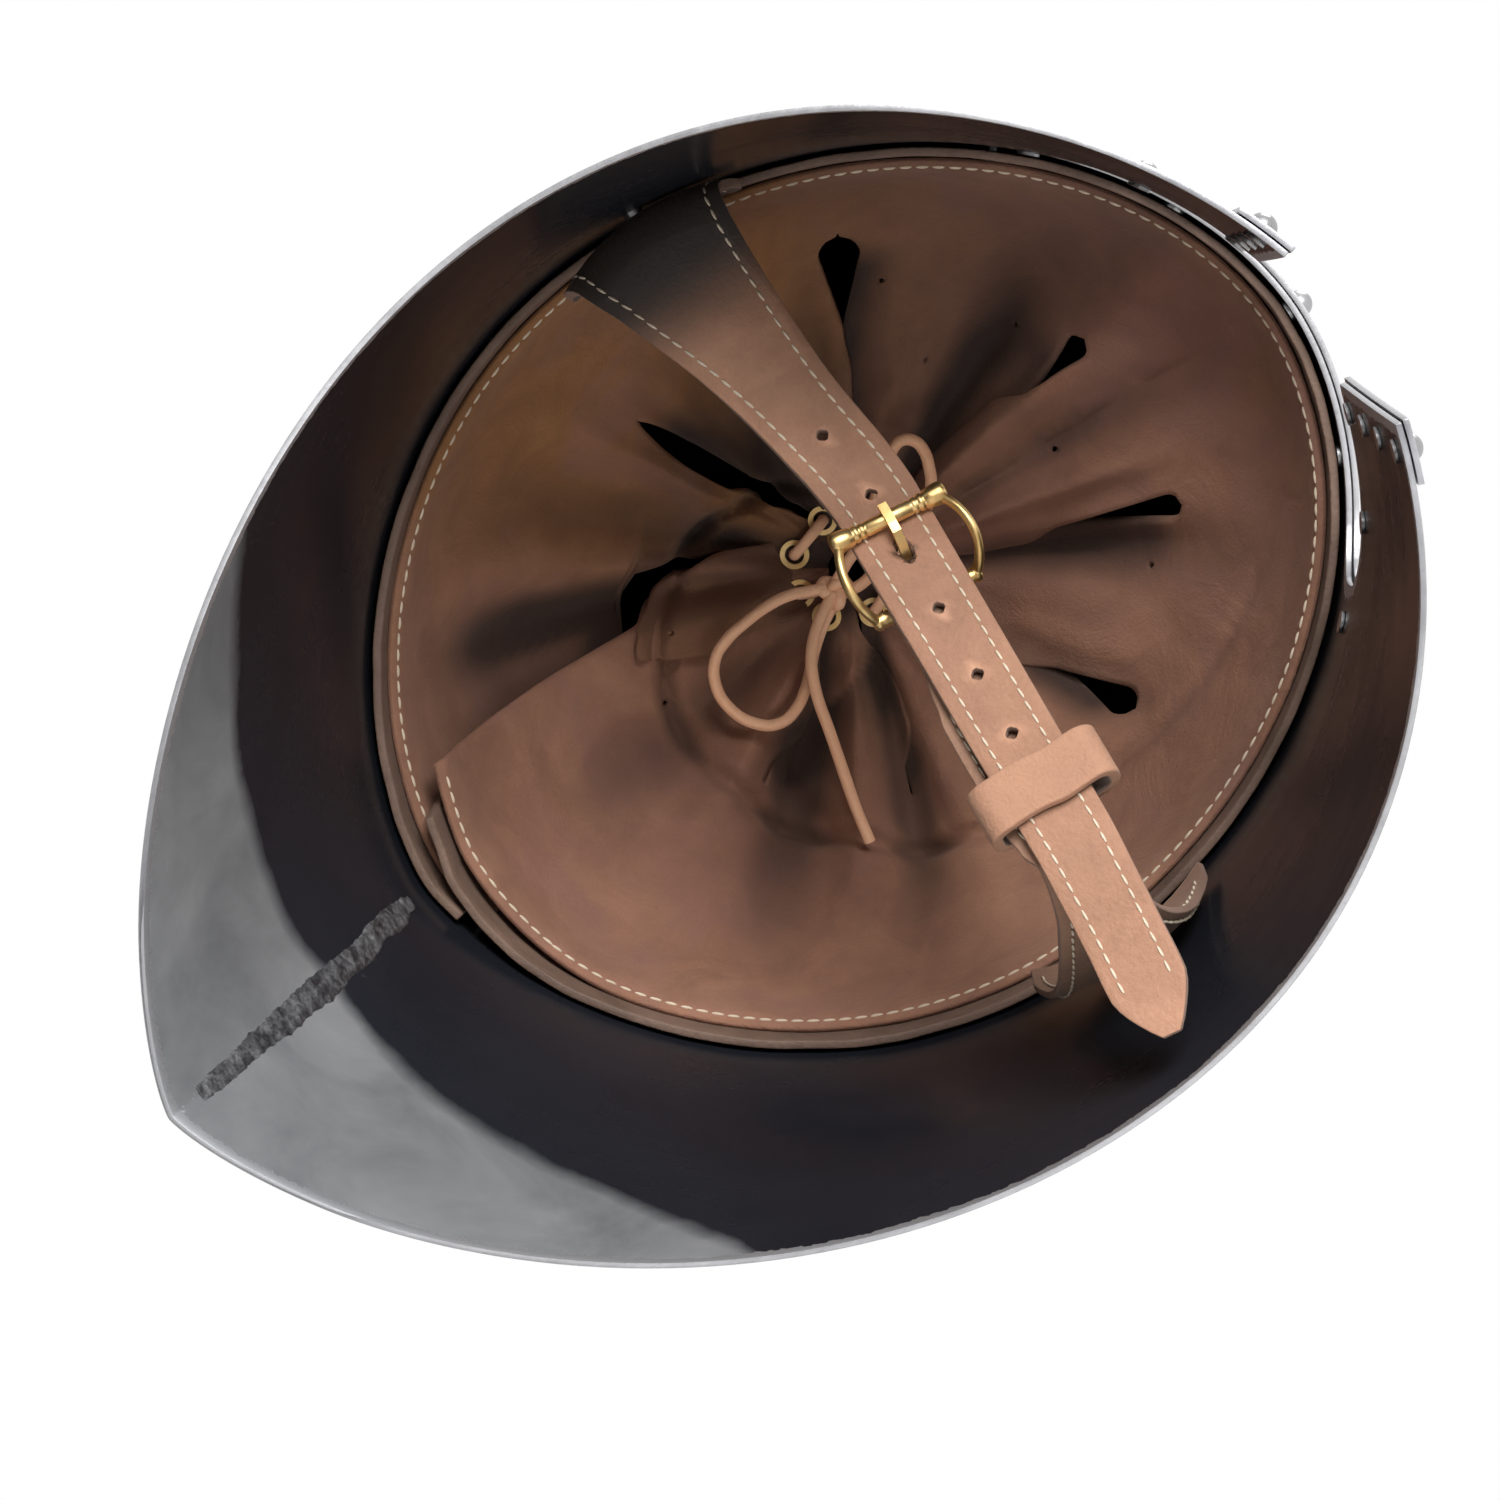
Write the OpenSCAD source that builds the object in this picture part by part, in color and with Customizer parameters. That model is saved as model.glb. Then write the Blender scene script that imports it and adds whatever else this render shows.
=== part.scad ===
// Barbute: a close fitting steel helmet with a T-shaped face opening, a riveted
// face band, a laced suede liner and a buckled chin strap.
// +Z is up as worn, -Y is the face, +X is the wearer's left, and the helmet
// stands on its rim at z = 0, centred on the origin.

/* [Skull] */
// Overall height from the rim to the crown
skull_h = 297; // [285:1:305]
// Outside width across the rim
rim_w = 228; // [218:1:236]
// Reach of the rim's front curve, ahead of the widest section
rim_front = 130.8; // [127:0.1:136]
// Reach of the pointed neck guard, behind the widest section
rim_rear = 153.8; // [145:0.1:160]
// Outside width at the brow line
brow_w = 197.4; // [193:0.1:204]
// Reach of the brow, ahead of the widest section
brow_front = 122; // [119:0.5:125]
// Reach of the back of the skull at the brow line
brow_rear = 112.5; // [109:0.5:116]
// Height at which the flare ends and the dome starts
brow_z = 150; // [146:1:154]
// Thickness of the steel plate
plate_t = 1.2; // [1:0.1:1.5]
// How far the rim arches up over the shoulders
rim_rise = 16.6; // [12:0.2:20]

/* [Face opening] */
// Half width of the slot between the cheeks, at the rim
slot_foot = 19.8; // [17:0.1:23]
// Half width of the slot at the top of the cheeks
slot_head = 15.6; // [13:0.1:18]
// Half width across both eye openings
eye_half = 56; // [50:1:60]
// Lower edge of the eye openings
eye_low = 94; // [88:1:98]
// Brow edge of the eye openings
eye_top = 125; // [120:1:126]
// Rounding of the outer eye corners
eye_round = 12; // [6:0.5:14]
// Rounding of the cheeks' upper corners
cheek_round = 8; // [5:0.5:11]

/* [Face band] */
// Width of the reinforcing band
band_w = 12.5; // [10:0.5:14]
// Thickness of the reinforcing band
band_t = 1.2; // [1:0.1:1.5]
// Gap between the band and the skull
band_gap = 0.4; // [0.3:0.05:0.6]

/* [Rivets] */
// Radius of a rivet shank
shank_r = 1.6; // [1.4:0.1:1.9]
// Radius of a rivet's dome head
head_r = 3; // [2.6:0.1:3.4]
// Height of a rivet's dome head
head_h = 2.4; // [1.8:0.1:2.7]
// Height of the hammered inner end of a rivet
peen_h = 0.6; // [0.4:0.05:0.8]
// Rivets through the leather band on each side
side_rivets = 5; // [4:1:6]

/* [Liner] */
// Lower edge of the leather band
leather_z = 130; // [129:0.5:132]
// Height of the leather band
leather_h = 28; // [24:1:32]
// Thickness of the leather band
leather_t = 2; // [1.6:0.1:2.4]
// Lower stitched edge of the suede
suede_z = 139; // [138:0.5:141]
// Thickness of the suede
suede_t = 1.5; // [1.2:0.1:1.8]
// Rise of the suede from its lower edge to the gathered crown
suede_rise = 64; // [55:1:72]
// Radius of the round end of a cut-out between two tongues
cut_r = 5; // [4:0.25:6]
// Radius of the circle on which the eyelets sit
eyelet_ring = 12.5; // [12:0.5:16]
// Bore radius of an eyelet
eyelet_bore = 2.3; // [2.2:0.05:2.5]

/* [Lace] */
// Diameter of the suede lace
lace_d = 3; // [2.6:0.1:3.2]
// Radius of the knot
knot_r = 3.6; // [3.2:0.1:4]

/* [Strap] */
// Strap width where the billet leaves its flare
strap_w = 19.4; // [18:0.2:20.4]
// Strap width at the tip
strap_tip_w = 16.6; // [16:0.2:17.6]
// Thickness of the strap leather
strap_t = 2.4; // [2:0.1:2.6]
// Width of the strap's flared ends at the anchors
flare_w = 45; // [38:1:46]
// Distance between two holes of the billet
hole_step = 16; // [14:0.5:17]
// Radius of a billet hole
hole_r = 1.8; // [1.5:0.1:2]
// Height of the strap anchors above the rim
anchor_z = 106; // [104:0.5:108]
// How far the anchors sit ahead of the widest section
anchor_front = 16; // [13:0.5:19]

/* [Buckle and keeper] */
// Radius of the buckle's bars
bar_r = 1.45; // [1.3:0.05:1.6]
// Distance between the hinge bar and the front bar
bar_step = 17; // [16:0.5:18]
// Thickness of the buckle tongue
tongue_t = 1.3; // [1.1:0.1:1.5]
// Width of the buckle tongue
tongue_w = 2; // [1.8:0.1:2.2]
// Width of the keeper along the strap
keeper_w = 12; // [10:0.5:13]
// Thickness of the keeper leather
keeper_t = 2.6; // [2.2:0.1:2.8]
// Clear width inside the keeper, over the width of the strap
keeper_room = 7.5; // [6:0.5:8]

/* [Hidden] */

// Shape of the skull: powers of its flares and of its dome
side_flare_power = 1.6;
front_flare_power = 1.2;
rear_flare_power = 1.9;
dome_rise_power = 2.4;
dome_round_power = 2.2;
// Power of a section's end: 1 is an ellipse, more is a sharper crease
rear_point_rim = 1.52;
rear_point_top = 1.14;
front_point_rim = 1.17;
front_point_top = 1.06;
// Length of the flats on which the rim stands
rim_flat = 16;
// Grid of the curved shells
steps_around = 64;
flare_rows = 8;
dome_rows = 11;
// Play around a shank, gap beside a soft piece, and gap under a flat washer on a curve
hole_play = 0.08;
soft_gap = 0.35;
seat_gap = 0.2;
// Gap under a rivet head that sits on the curved wall
head_seat = 0.15;
anchor_head_seat = 0.6;
// Gap between the steel and the leather band, which clears the rivet ends
leather_gap = 1.1;
// Sections of the skull at which the suede is cut between its tongues
cut_at = [27, 65, 117, 163, 213, 256, 298, 343];
tongue_count = len(cut_at);
pleat_h = 5;
// The pleats fade out between these shares of a tongue's length
pleat_fade = [0.19, 0.5];
suede_steps = 40;
suede_rows = [0, 14, 30, 46, 58, 68, 77, 83.5, 89];
washer_r = 3.8;
washer_t = 0.7;
function clamp(v, lo, hi) = min(max(v, lo), hi);
function mix(a, b, t) = a + (b - a) * t;
function unit(v) = v / norm(v);

// Section curves: th runs from -90 at the face to 90 at the nape
function flare(z, power) = pow(max(0, 1 - z / brow_z), power);
function dome(z) = z <= brow_z ? 1 :
  pow(max(0, 1 - pow((z - brow_z) / (skull_h - brow_z), dome_rise_power)), 1 / dome_round_power);
function half_width(z) = dome(z) * mix(brow_w / 2, rim_w / 2, flare(z, side_flare_power));
function face_reach(z) = dome(z) * mix(brow_front, rim_front, flare(z, front_flare_power));
function nape_reach(z) = dome(z) * mix(brow_rear, rim_rear, flare(z, rear_flare_power));
function face_point(z) = mix(front_point_top, front_point_rim, flare(z, 1));
function nape_point(z) = mix(rear_point_top, rear_point_rim, flare(z, 1));
function skin_point(th, z) = th < 0 ?
  [half_width(z) * pow(max(0, cos(th)), face_point(z)), face_reach(z) * sin(th), z] :
  [half_width(z) * pow(max(0, cos(th)), nape_point(z)), nape_reach(z) * sin(th), z];
function raw_normal(th, z) =
  unit(cross(skin_point(th + 1, z) - skin_point(th - 1, z), skin_point(th, z + 1) - skin_point(th, z - 1)));
// Outward normal; on the crease it is lengthened as a mitre is
function skin_normal(th, z) =
  let (n = raw_normal(clamp(th, -88, 88), clamp(z, 1, skull_h - 1.3)))
  abs(th) < 89 ? n : [0, n.y, n.z] / (n.y * n.y + n.z * n.z);

// Sections by a: 0 is the face, 90 the left ear, 180 the nape, 270 the right ear
function th_of(a) = a <= 180 ? a - 90 : 270 - a;
function side_of(a) = a <= 180 ? 1 : -1;
function on_side(p, s) = [s * p.x, p.y, p.z];
function wall(a, z, off) =
  let (th = th_of(a), p = skin_point(th, z) + off * skin_normal(th, z)) on_side(p, side_of(a));
function wall_normal(a, z) = on_side(skin_normal(th_of(a), z), side_of(a));
function face_section(x, z) = 90 - acos(pow(abs(x) / half_width(z), 1 / face_point(z)));
// The rim stands on flats at the cheeks and the nape and arches between them
function rim_z(th) =
  let (y = th < 0 ? rim_front * sin(th) : rim_rear * sin(th),
       t = clamp((y + rim_front - rim_flat) / (rim_front + rim_rear - 2 * rim_flat), 0, 1))
  rim_rise * pow(sin(180 * t), 1.5);
function row_z(th, i) = i <= flare_rows ? mix(rim_z(th), brow_z, i / flare_rows) :
  brow_z + (skull_h - brow_z) * pow(sin(90 * (i - flare_rows) / dome_rows), 2 / dome_rise_power);
function grid_point(a, i, off) =
  let (z = row_z(th_of(a), i), p = wall(a, z, off)) i == 0 ? [p.x, p.y, z] : p;

// Triangles of a four cornered face, clockwise seen from outside
function tri2(a, b, c, d) = [[a, b, c], [a, c, d]];
function flat_list(l) = [for (e = l) each e];

// Solid swept through rings of points, closed on itself or capped pair by pair
module skin(rings, closed = false) {
  n = len(rings[0]);
  m = len(rings);
  last = closed ? m - 1 : m - 2;
  sides = flat_list([for (i = [0:last], j = [0:n - 1])
    let (k = (i + 1) % m, l = (j + 1) % n)
    tri2(i * n + j, i * n + l, k * n + l, k * n + j)]);
  cap_a = closed ? [] : flat_list([for (j = [0:n / 2 - 2]) tri2(n - 1 - j, n - 2 - j, j + 1, j)]);
  cap_b = closed ? [] : flat_list([for (j = [0:n / 2 - 2])
    let (o = (m - 1) * n) tri2(o + j, o + j + 1, o + n - 2 - j, o + n - 1 - j)]);
  polyhedron(points = flat_list(rings), faces = concat(sides, cap_a, cap_b), convexity = 8);
}

// Puts a child on the skull with its +Z along the outward normal
module on_wall(a, z, off = 0) {
  n = unit(wall_normal(a, z));
  translate(wall(a, z, off)) rotate([0, acos(n.z), atan2(n.y, n.x)]) children();
}
// The widest section lies this far from the centre of the whole part
front_reach = -wall(face_section(slot_foot, 0), 0, band_gap + band_t).y;
axis_y = (front_reach - rim_rear) / 2;
module in_place() {
  translate([0, axis_y, 0]) children();
}

// Outline of the face opening, grown by a margin, with its cheek corners rounded
module opening_outline(grow, corner) {
  slope = (slot_foot - slot_head) / eye_low;
  foot = 40;
  rx = eye_half + grow;
  rr = eye_round + grow;
  polygon([[slot_foot + slope * foot + grow, -foot], [slot_head + grow, eye_low],
    [-slot_head - grow, eye_low], [-slot_foot - slope * foot - grow, -foot]]);
  translate([-rx, eye_low - grow + rr]) square([2 * rx, eye_top - eye_low + 2 * grow - 2 * rr]);
  translate([-rx + rr, eye_low - grow]) square([2 * (rx - rr), eye_top - eye_low + 2 * grow]);
  for (x = [-1, 1], z = [eye_low - grow + rr, eye_top + grow - rr])
    translate([x * (rx - rr), z]) circle(rr, $fn = 48);
  if (corner > 0) for (x = [-1, 1]) scale([x, 1]) translate([slot_head, eye_low - corner])
    difference() {
      square([corner, corner + 0.01]);
      translate([corner, 0]) circle(corner, $fn = 48);
    }
}
module face_prism(grow, corner) {
  rotate([90, 0, 0]) translate([0, 0, 25]) linear_extrude(140) opening_outline(grow, corner);
}

module skull_plate() {
  rows = flare_rows + dome_rows;
  n = steps_around;
  outer = [for (i = [0:rows - 1], j = [0:n - 1]) grid_point(360 * j / n, i, 0)];
  inner = [for (i = [0:rows - 1], j = [0:n - 1]) grid_point(360 * j / n, i, -plate_t)];
  top = rows * n;
  low = top + 1;
  function o(i, j) = i * n + j % n;
  function q(i, j) = low + i * n + j % n;
  walls = flat_list([for (i = [0:rows - 2], j = [0:n - 1])
    concat(tri2(o(i, j), o(i + 1, j), o(i + 1, j + 1), o(i, j + 1)),
           tri2(q(i, j), q(i, j + 1), q(i + 1, j + 1), q(i + 1, j)))]);
  crown = flat_list([for (j = [0:n - 1]) [[o(rows - 1, j), top, o(rows - 1, j + 1)],
    [q(rows - 1, j), q(rows - 1, j + 1), low + top]]]);
  rim = flat_list([for (j = [0:n - 1]) tri2(o(0, j), o(0, j + 1), q(0, j + 1), q(0, j))]);
  polyhedron(points = concat(outer, [[0, 0, skull_h]], inner, [[0, 0, skull_h - plate_t]]),
    faces = concat(walls, crown, rim), convexity = 8);
}

// Places of the rivets of the face band, as [side, x, z]
band_mid = band_w / 2;
function slot_x(z) = mix(slot_foot, slot_head, z / eye_low);
cheek_rivet_z = [for (i = [0:3]) 11 + i * (eye_low - 18) / 3];
half_band_rivets = concat([for (z = cheek_rivet_z) [slot_x(z) + band_mid, z]],
  [[eye_half * 0.78, eye_low - band_mid], [eye_half + band_mid, (eye_low + eye_top) / 2],
   [eye_half * 0.6, eye_top + band_mid]]);
band_rivets = concat([for (s = [0, 1], p = half_band_rivets)
  [s == 0 ? face_section(p.x, p.y) : 360 - face_section(p.x, p.y), p.y]], [[0, eye_top + band_mid]]);
band_top = band_gap + band_t;

// Places of the rivets that hold the leather band, behind the suede
liner_rivet_z = suede_z + 8;
liner_rivet_th = [for (i = [0:side_rivets - 1]) mix(-46, 78, i / (side_rivets - 1))];
side_rivet_list = [for (th = liner_rivet_th, s = [0, 1])
  [s == 0 ? th + 90 : 270 - th, liner_rivet_z]];
leather_back = plate_t + leather_gap + leather_t;

// The straps turn on rivets at this section of the skull, on each side
anchor_th = asin(-anchor_front / face_reach(anchor_z));

module rivet_hole(a, z, r) {
  on_wall(a, z) translate([0, 0, -9]) cylinder(r = r, h = 16, $fn = 24);
}
// Rivet with its head on the outside at +Z, and its hammered end down at the grip
module rivet(grip) {
  ball = (head_r * head_r + head_h * head_h) / (2 * head_h);
  translate([0, 0, head_seat]) intersection() {
    translate([0, 0, head_h - ball]) sphere(ball, $fn = 48);
    cylinder(r = head_r + 1, h = head_h + 1, $fn = 48);
  }
  translate([0, 0, -grip - peen_h]) cylinder(r = shank_r, h = grip + peen_h + 0.3, $fn = 32);
  translate([0, 0, -grip - peen_h]) cylinder(r = shank_r + 0.9, h = peen_h, $fn = 32);
}

module skull_shell() {
  color([0.72, 0.73, 0.74]) in_place() difference() {
    skull_plate();
    face_prism(0, cheek_round);
    for (p = band_rivets) rivet_hole(p[0], p[1], shank_r + hole_play);
    for (p = side_rivet_list) rivet_hole(p[0], p[1], shank_r + hole_play);
    anchor_pair() translate([0, 0, -6]) cylinder(r = anchor_shank_r + hole_play, h = 12, $fn = 32);
  }
}

module face_band() {
  reach = 9;
  rings = [for (j = [-reach:reach]) let (a = (360 + 360 * j / steps_around) % 360)
    concat([for (i = [0:flare_rows]) grid_point(a, i, band_top)],
      [for (i = [flare_rows:-1:0]) grid_point(a, i, band_gap)])];
  color([0.76, 0.77, 0.78]) in_place() difference() {
    intersection() {
      skin(rings);
      face_prism(band_w, 0);
    }
    face_prism(0, cheek_round / 3);
    for (p = band_rivets) rivet_hole(p[0], p[1], shank_r + hole_play);
  }
}

module face_band_rivets() {
  color([0.8, 0.8, 0.81]) in_place() for (p = band_rivets)
    on_wall(p[0], p[1], band_top) rivet(band_top + plate_t + seat_gap);
}

module leather_band() {
  split = 188;
  gap = 1.2;
  heights = [0, 1 / 3, 2 / 3, 1];
  rings = [for (j = [0:steps_around]) let (a = (split + gap + j * (360 - 2 * gap) / steps_around) % 360)
    concat([for (h = heights) wall(a, leather_z + h * leather_h, -plate_t - leather_gap)],
      [for (h = [3:-1:0]) wall(a, leather_z + heights[h] * leather_h, -leather_back)])];
  color([0.4, 0.26, 0.18]) in_place() difference() {
    skin(rings);
    for (p = side_rivet_list) rivet_hole(p[0], p[1], shank_r + hole_play);
  }
}

module liner_rivets() {
  color([0.8, 0.8, 0.81]) in_place() for (p = side_rivet_list)
    on_wall(p[0], p[1]) rivet(leather_back + seat_gap + washer_t);
}

module liner_washers() {
  color([0.7, 0.71, 0.72]) in_place() for (p = side_rivet_list)
    on_wall(p[0], p[1], -leather_back - seat_gap - washer_t) difference() {
      cylinder(r = washer_r, h = washer_t, $fn = 32);
      translate([0, 0, -1]) cylinder(r = shank_r + hole_play, h = washer_t + 2, $fn = 24);
    }
}

// The suede rises along the band and is drawn in to the gather, with a pleat per tongue
gather_at = [-2, -1];
suede_back = leather_back + seat_gap + washer_t + peen_h - seat_gap / 2;
function cut_phase(a) =
  let (p = a < cut_at[0] ? a + 360 : a,
       k = max([for (i = [0:tongue_count - 1]) p >= cut_at[i] ? i : 0]),
       hi = k < tongue_count - 1 ? cut_at[k + 1] : cut_at[0] + 360)
  (p - cut_at[k]) / (hi - cut_at[k]);
function hem(a) = let (e = wall(a, suede_z + 6, -suede_back)) [e.x, e.y];
function suede_point(a, phi) =
  let (g = pow(cos(phi), 0.75), e = hem(a), fold = (1 - cos(360 * cut_phase(a))) / 2,
       share = clamp((g - pleat_fade[0]) / (pleat_fade[1] - pleat_fade[0]), 0, 1))
  [gather_at.x * (1 - g) + e.x * g, gather_at.y * (1 - g) + e.y * g,
   suede_z + suede_rise * pow(sin(phi), 0.9) - pleat_h * fold * share * pow(sin(phi), 2)];
function suede_normal(a, phi) = let (p = clamp(phi, 1.01, 88), b = a < 1 ? 1 : a > 359 ? 359 : a)
  unit(cross(suede_point(b + 0.5, p) - suede_point(b - 0.5, p),
    suede_point(b, p + 1) - suede_point(b, p - 1)));
function tongue_mid(k) = (cut_at[k] + (k < tongue_count - 1 ? cut_at[k + 1] : cut_at[0] + 360)) / 2 % 360;
function away(a) = hem(a) - gather_at;
// Centre of the suede's thickness at a radius from the gather, on a tongue's middle line
function tongue_spot(k, r) =
  let (a = tongue_mid(k), d = away(a), phi = acos(pow(r / norm(d), 1 / 0.75)), p = suede_point(a, phi))
  [p.x, p.y, p.z - suede_t / 2];

module tongue_cut(a) {
  d = away(a);
  reach = norm(d);
  translate([gather_at.x, gather_at.y, suede_z + 22]) rotate([0, 0, atan2(d.y, d.x)])
    linear_extrude(suede_rise) union() {
      translate([reach * 0.72, 0]) circle(cut_r, $fn = 20);
      polygon([[0, -0.6], [reach * 0.5, -0.6], [reach * 0.72, -cut_r], [reach * 0.72, cut_r],
        [reach * 0.5, 0.6], [0, 0.6]]);
    }
}

eyelet_flange_r = 3.5;
eyelet_barrel_r = eyelet_bore + 0.45;
eyelet_flange_t = 0.4;
module suede_liner() {
  rings = [for (j = [0:suede_steps - 1]) let (a = 360 * j / suede_steps)
    concat([for (phi = suede_rows) suede_point(a, phi)],
      [for (i = [len(suede_rows) - 1:-1:0])
        suede_point(a, suede_rows[i]) - suede_t * suede_normal(a, suede_rows[i])])];
  color([0.45, 0.3, 0.22]) in_place() difference() {
    skin(rings, true);
    for (a = cut_at) tongue_cut(a);
    for (k = [0:tongue_count - 1]) translate(tongue_spot(k, eyelet_ring) - [0, 0, 4 * suede_t])
      cylinder(r = eyelet_barrel_r + 0.15, h = 8 * suede_t, $fn = 20);
  }
}

module tongue_eyelets() {
  half = suede_t / 2 + soft_gap + head_seat;
  color([0.85, 0.68, 0.35]) in_place() for (k = [0:tongue_count - 1])
    translate(tongue_spot(k, eyelet_ring)) difference() {
      union() {
        for (z = [-half - eyelet_flange_t, half]) translate([0, 0, z])
          cylinder(r = eyelet_flange_r, h = eyelet_flange_t, $fn = 40);
        translate([0, 0, -half - 0.1]) cylinder(r = eyelet_barrel_r, h = 2 * half + 0.2, $fn = 40);
      }
      translate([0, 0, -3 * suede_t]) cylinder(r = eyelet_bore, h = 6 * suede_t, $fn = 40);
    }
}

// Solid tube along points, with its rings square to the path and carried along without a twist
function turn(pts, i) = unit(pts[min(i + 1, len(pts) - 1)] - pts[max(i - 1, 0)]);
function carried(a, d) = unit(a - d * (a * d));
function ring_sides(pts) =
  [for (i = 0, a = carried([0.1, 0.2, 1], turn(pts, 0)); i < len(pts);
        i = i + 1, a = carried(a, turn(pts, min(i, len(pts) - 1)))) a];
module cord(pts, r) {
  sides = ring_sides(pts);
  skin([for (i = [0:len(pts) - 1]) let (a = sides[i], b = cross(turn(pts, i), a))
    [for (j = [0:7]) pts[i] + r * (cos(45 * j) * a - sin(45 * j) * b)]]);
}

// The lace goes up and down through the eyelets in turn, and both ends reach the knot
knot_at = [0.5, 3.3, 192.5];
weave_order = [3, 4, 5, 6, 7, 0, 1, 2];
weave_rise = 3.4;
weave_foot = 1.9;
weave_turns = [30, 60, 90, 120, 150];
function weave_spot(k) = tongue_spot(weave_order[k], eyelet_ring);
function weave_gap(k) =
  let (p = weave_spot(k), q = weave_spot(k + 1), s = k % 2 == 0 ? 1 : -1)
  concat([p - [0, 0, weave_foot * s], p + [0, 0, weave_foot * s]],
    [for (t = weave_turns) mix(p, q, (1 - cos(t)) / 2) + [0, 0, s * (weave_foot + weave_rise * sin(t))]]);
weave_start = weave_spot(0);
weave_end = weave_spot(7);
weave = concat(
  [knot_at + [-1.6, 0.8, 1], knot_at + [-2.1, 2.8, 1.6], weave_start + [0.9, -2.6, -5],
   weave_start + [0.2, -0.8, -3.2]],
  flat_list([for (k = [0:6]) weave_gap(k)]),
  [weave_end + [0, 0, weave_foot], weave_end - [0, 0, weave_foot], weave_end + [-0.3, -0.5, -3.2],
   weave_end + [-1.2, -1.7, -5], knot_at + [3.2, 2.2, 1.7], knot_at + [2.2, 0.6, 0.9]]);
module lace_gather() {
  color([0.88, 0.65, 0.52]) in_place() cord(weave, lace_d / 2);
}
module lace_knot() {
  color([0.85, 0.62, 0.5]) in_place() translate(knot_at) sphere(knot_r, $fn = 40);
}
long_loop = [[-1.4, 4.8, 191.2], [-3.2, 8.4, 189.2], [-5, 12.4, 187.2], [-5.8, 18, 186], [-5.5, 24, 185.5],
  [-4.6, 30, 185], [-2.2, 35, 185], [2.5, 38.2, 185], [9, 38.8, 185.5], [15.5, 36, 186], [19, 31, 187],
  [18.3, 26, 188], [15.5, 21.5, 189], [12.5, 18.2, 190], [9, 14.5, 191], [6, 10.5, 192], [3.9, 7.2, 192.8],
  [2.5, 4.4, 193.2]];
short_loop = [[-1.2, 1.6, 191.6], [-3.6, -3, 188.8], [-6.2, -9, 187], [-10, -14.2, 186], [-14, -19, 185.5],
  [-18, -24.2, 185], [-20.2, -27.6, 185], [-20.6, -30.4, 185], [-18.9, -32.6, 185.1], [-16, -33.2, 185.3],
  [-12, -32.1, 185.6], [-8, -30, 186], [-3.6, -25.4, 187], [-1.2, -20, 188], [0.4, -14.5, 189],
  [1.6, -8, 190], [2.6, -3, 191.6], [2.2, 2, 193]];
tail_line = [[0.8, 4, 191], [3, 8.2, 187.5], [6.4, 12.8, 184.5], [10.5, 16.2, 183], [15.4, 18.6, 182.5],
  [20, 20.2, 182.5], [25.5, 21.6, 183], [32, 23.4, 183.5], [39, 25.4, 184], [46.5, 27.4, 184.5],
  [54, 29, 185]];
module lace_long_loop() {
  color([0.88, 0.65, 0.52]) in_place() cord(long_loop, lace_d / 2);
}
module lace_short_loop() {
  color([0.88, 0.65, 0.52]) in_place() cord(short_loop, lace_d / 2);
}
module lace_tail() {
  color([0.88, 0.65, 0.52]) in_place() cord(tail_line, lace_d / 2);
}

// The straps turn on the anchor rivets, whose axes run across the helmet
anchor_shank_r = 2.2;
anchor_play = 0.06;
anchor_head_r = 4.4;
anchor_head_h = 2.6;
anchor_wall = wall(anchor_th + 90, anchor_z, 0);
inner_wall_x = wall(anchor_th + 90, anchor_z, -plate_t).x;
strap_mid_x = inner_wall_x - 0.9 - strap_t / 2;
strap_face_x = strap_mid_x - strap_t / 2;
anchor_washer_r = 5.6;
anchor_washer_t = 0.8;
dish = 0.0112;
// Depth of the washers' outer faces under the wall, clear of the strap's dish and of its lean
anchor_low = anchor_wall.x - strap_face_x + dish * pow(anchor_washer_r, 2) + 4 * seat_gap;
module anchor_side(s) {
  translate([s * anchor_wall.x, anchor_wall.y, anchor_z]) rotate([0, s * 90, 0]) children();
}
module anchor_pair() {
  for (s = [-1, 1]) anchor_side(s) children();
}
module anchor_rivet(s) {
  ball = (anchor_head_r * anchor_head_r + anchor_head_h * anchor_head_h) / (2 * anchor_head_h);
  low = anchor_low + anchor_washer_t + seat_gap;
  color([0.8, 0.8, 0.81]) in_place() anchor_side(s) {
    translate([0, 0, anchor_head_seat]) intersection() {
      translate([0, 0, anchor_head_h - ball]) sphere(ball, $fn = 48);
      cylinder(r = anchor_head_r + 1, h = anchor_head_h + 1, $fn = 48);
    }
    translate([0, 0, -low - peen_h]) cylinder(r = anchor_shank_r, h = low + peen_h + 1, $fn = 40);
    translate([0, 0, -low - peen_h]) cylinder(r = anchor_shank_r + 1.1, h = peen_h, $fn = 40);
  }
}
module anchor_washer(s) {
  low = anchor_low + anchor_washer_t;
  color([0.7, 0.71, 0.72]) in_place() anchor_side(s) translate([0, 0, -low]) difference() {
    cylinder(r = anchor_washer_r, h = anchor_washer_t, $fn = 48);
    translate([0, 0, -1]) cylinder(r = anchor_shank_r + anchor_play, h = 3, $fn = 40);
  }
}
module billet_anchor_rivet() {
  anchor_rivet(-1);
}
module billet_anchor_washer() {
  anchor_washer(-1);
}
module chape_anchor_rivet() {
  anchor_rivet(1);
}
module chape_anchor_washer() {
  anchor_washer(1);
}

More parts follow.
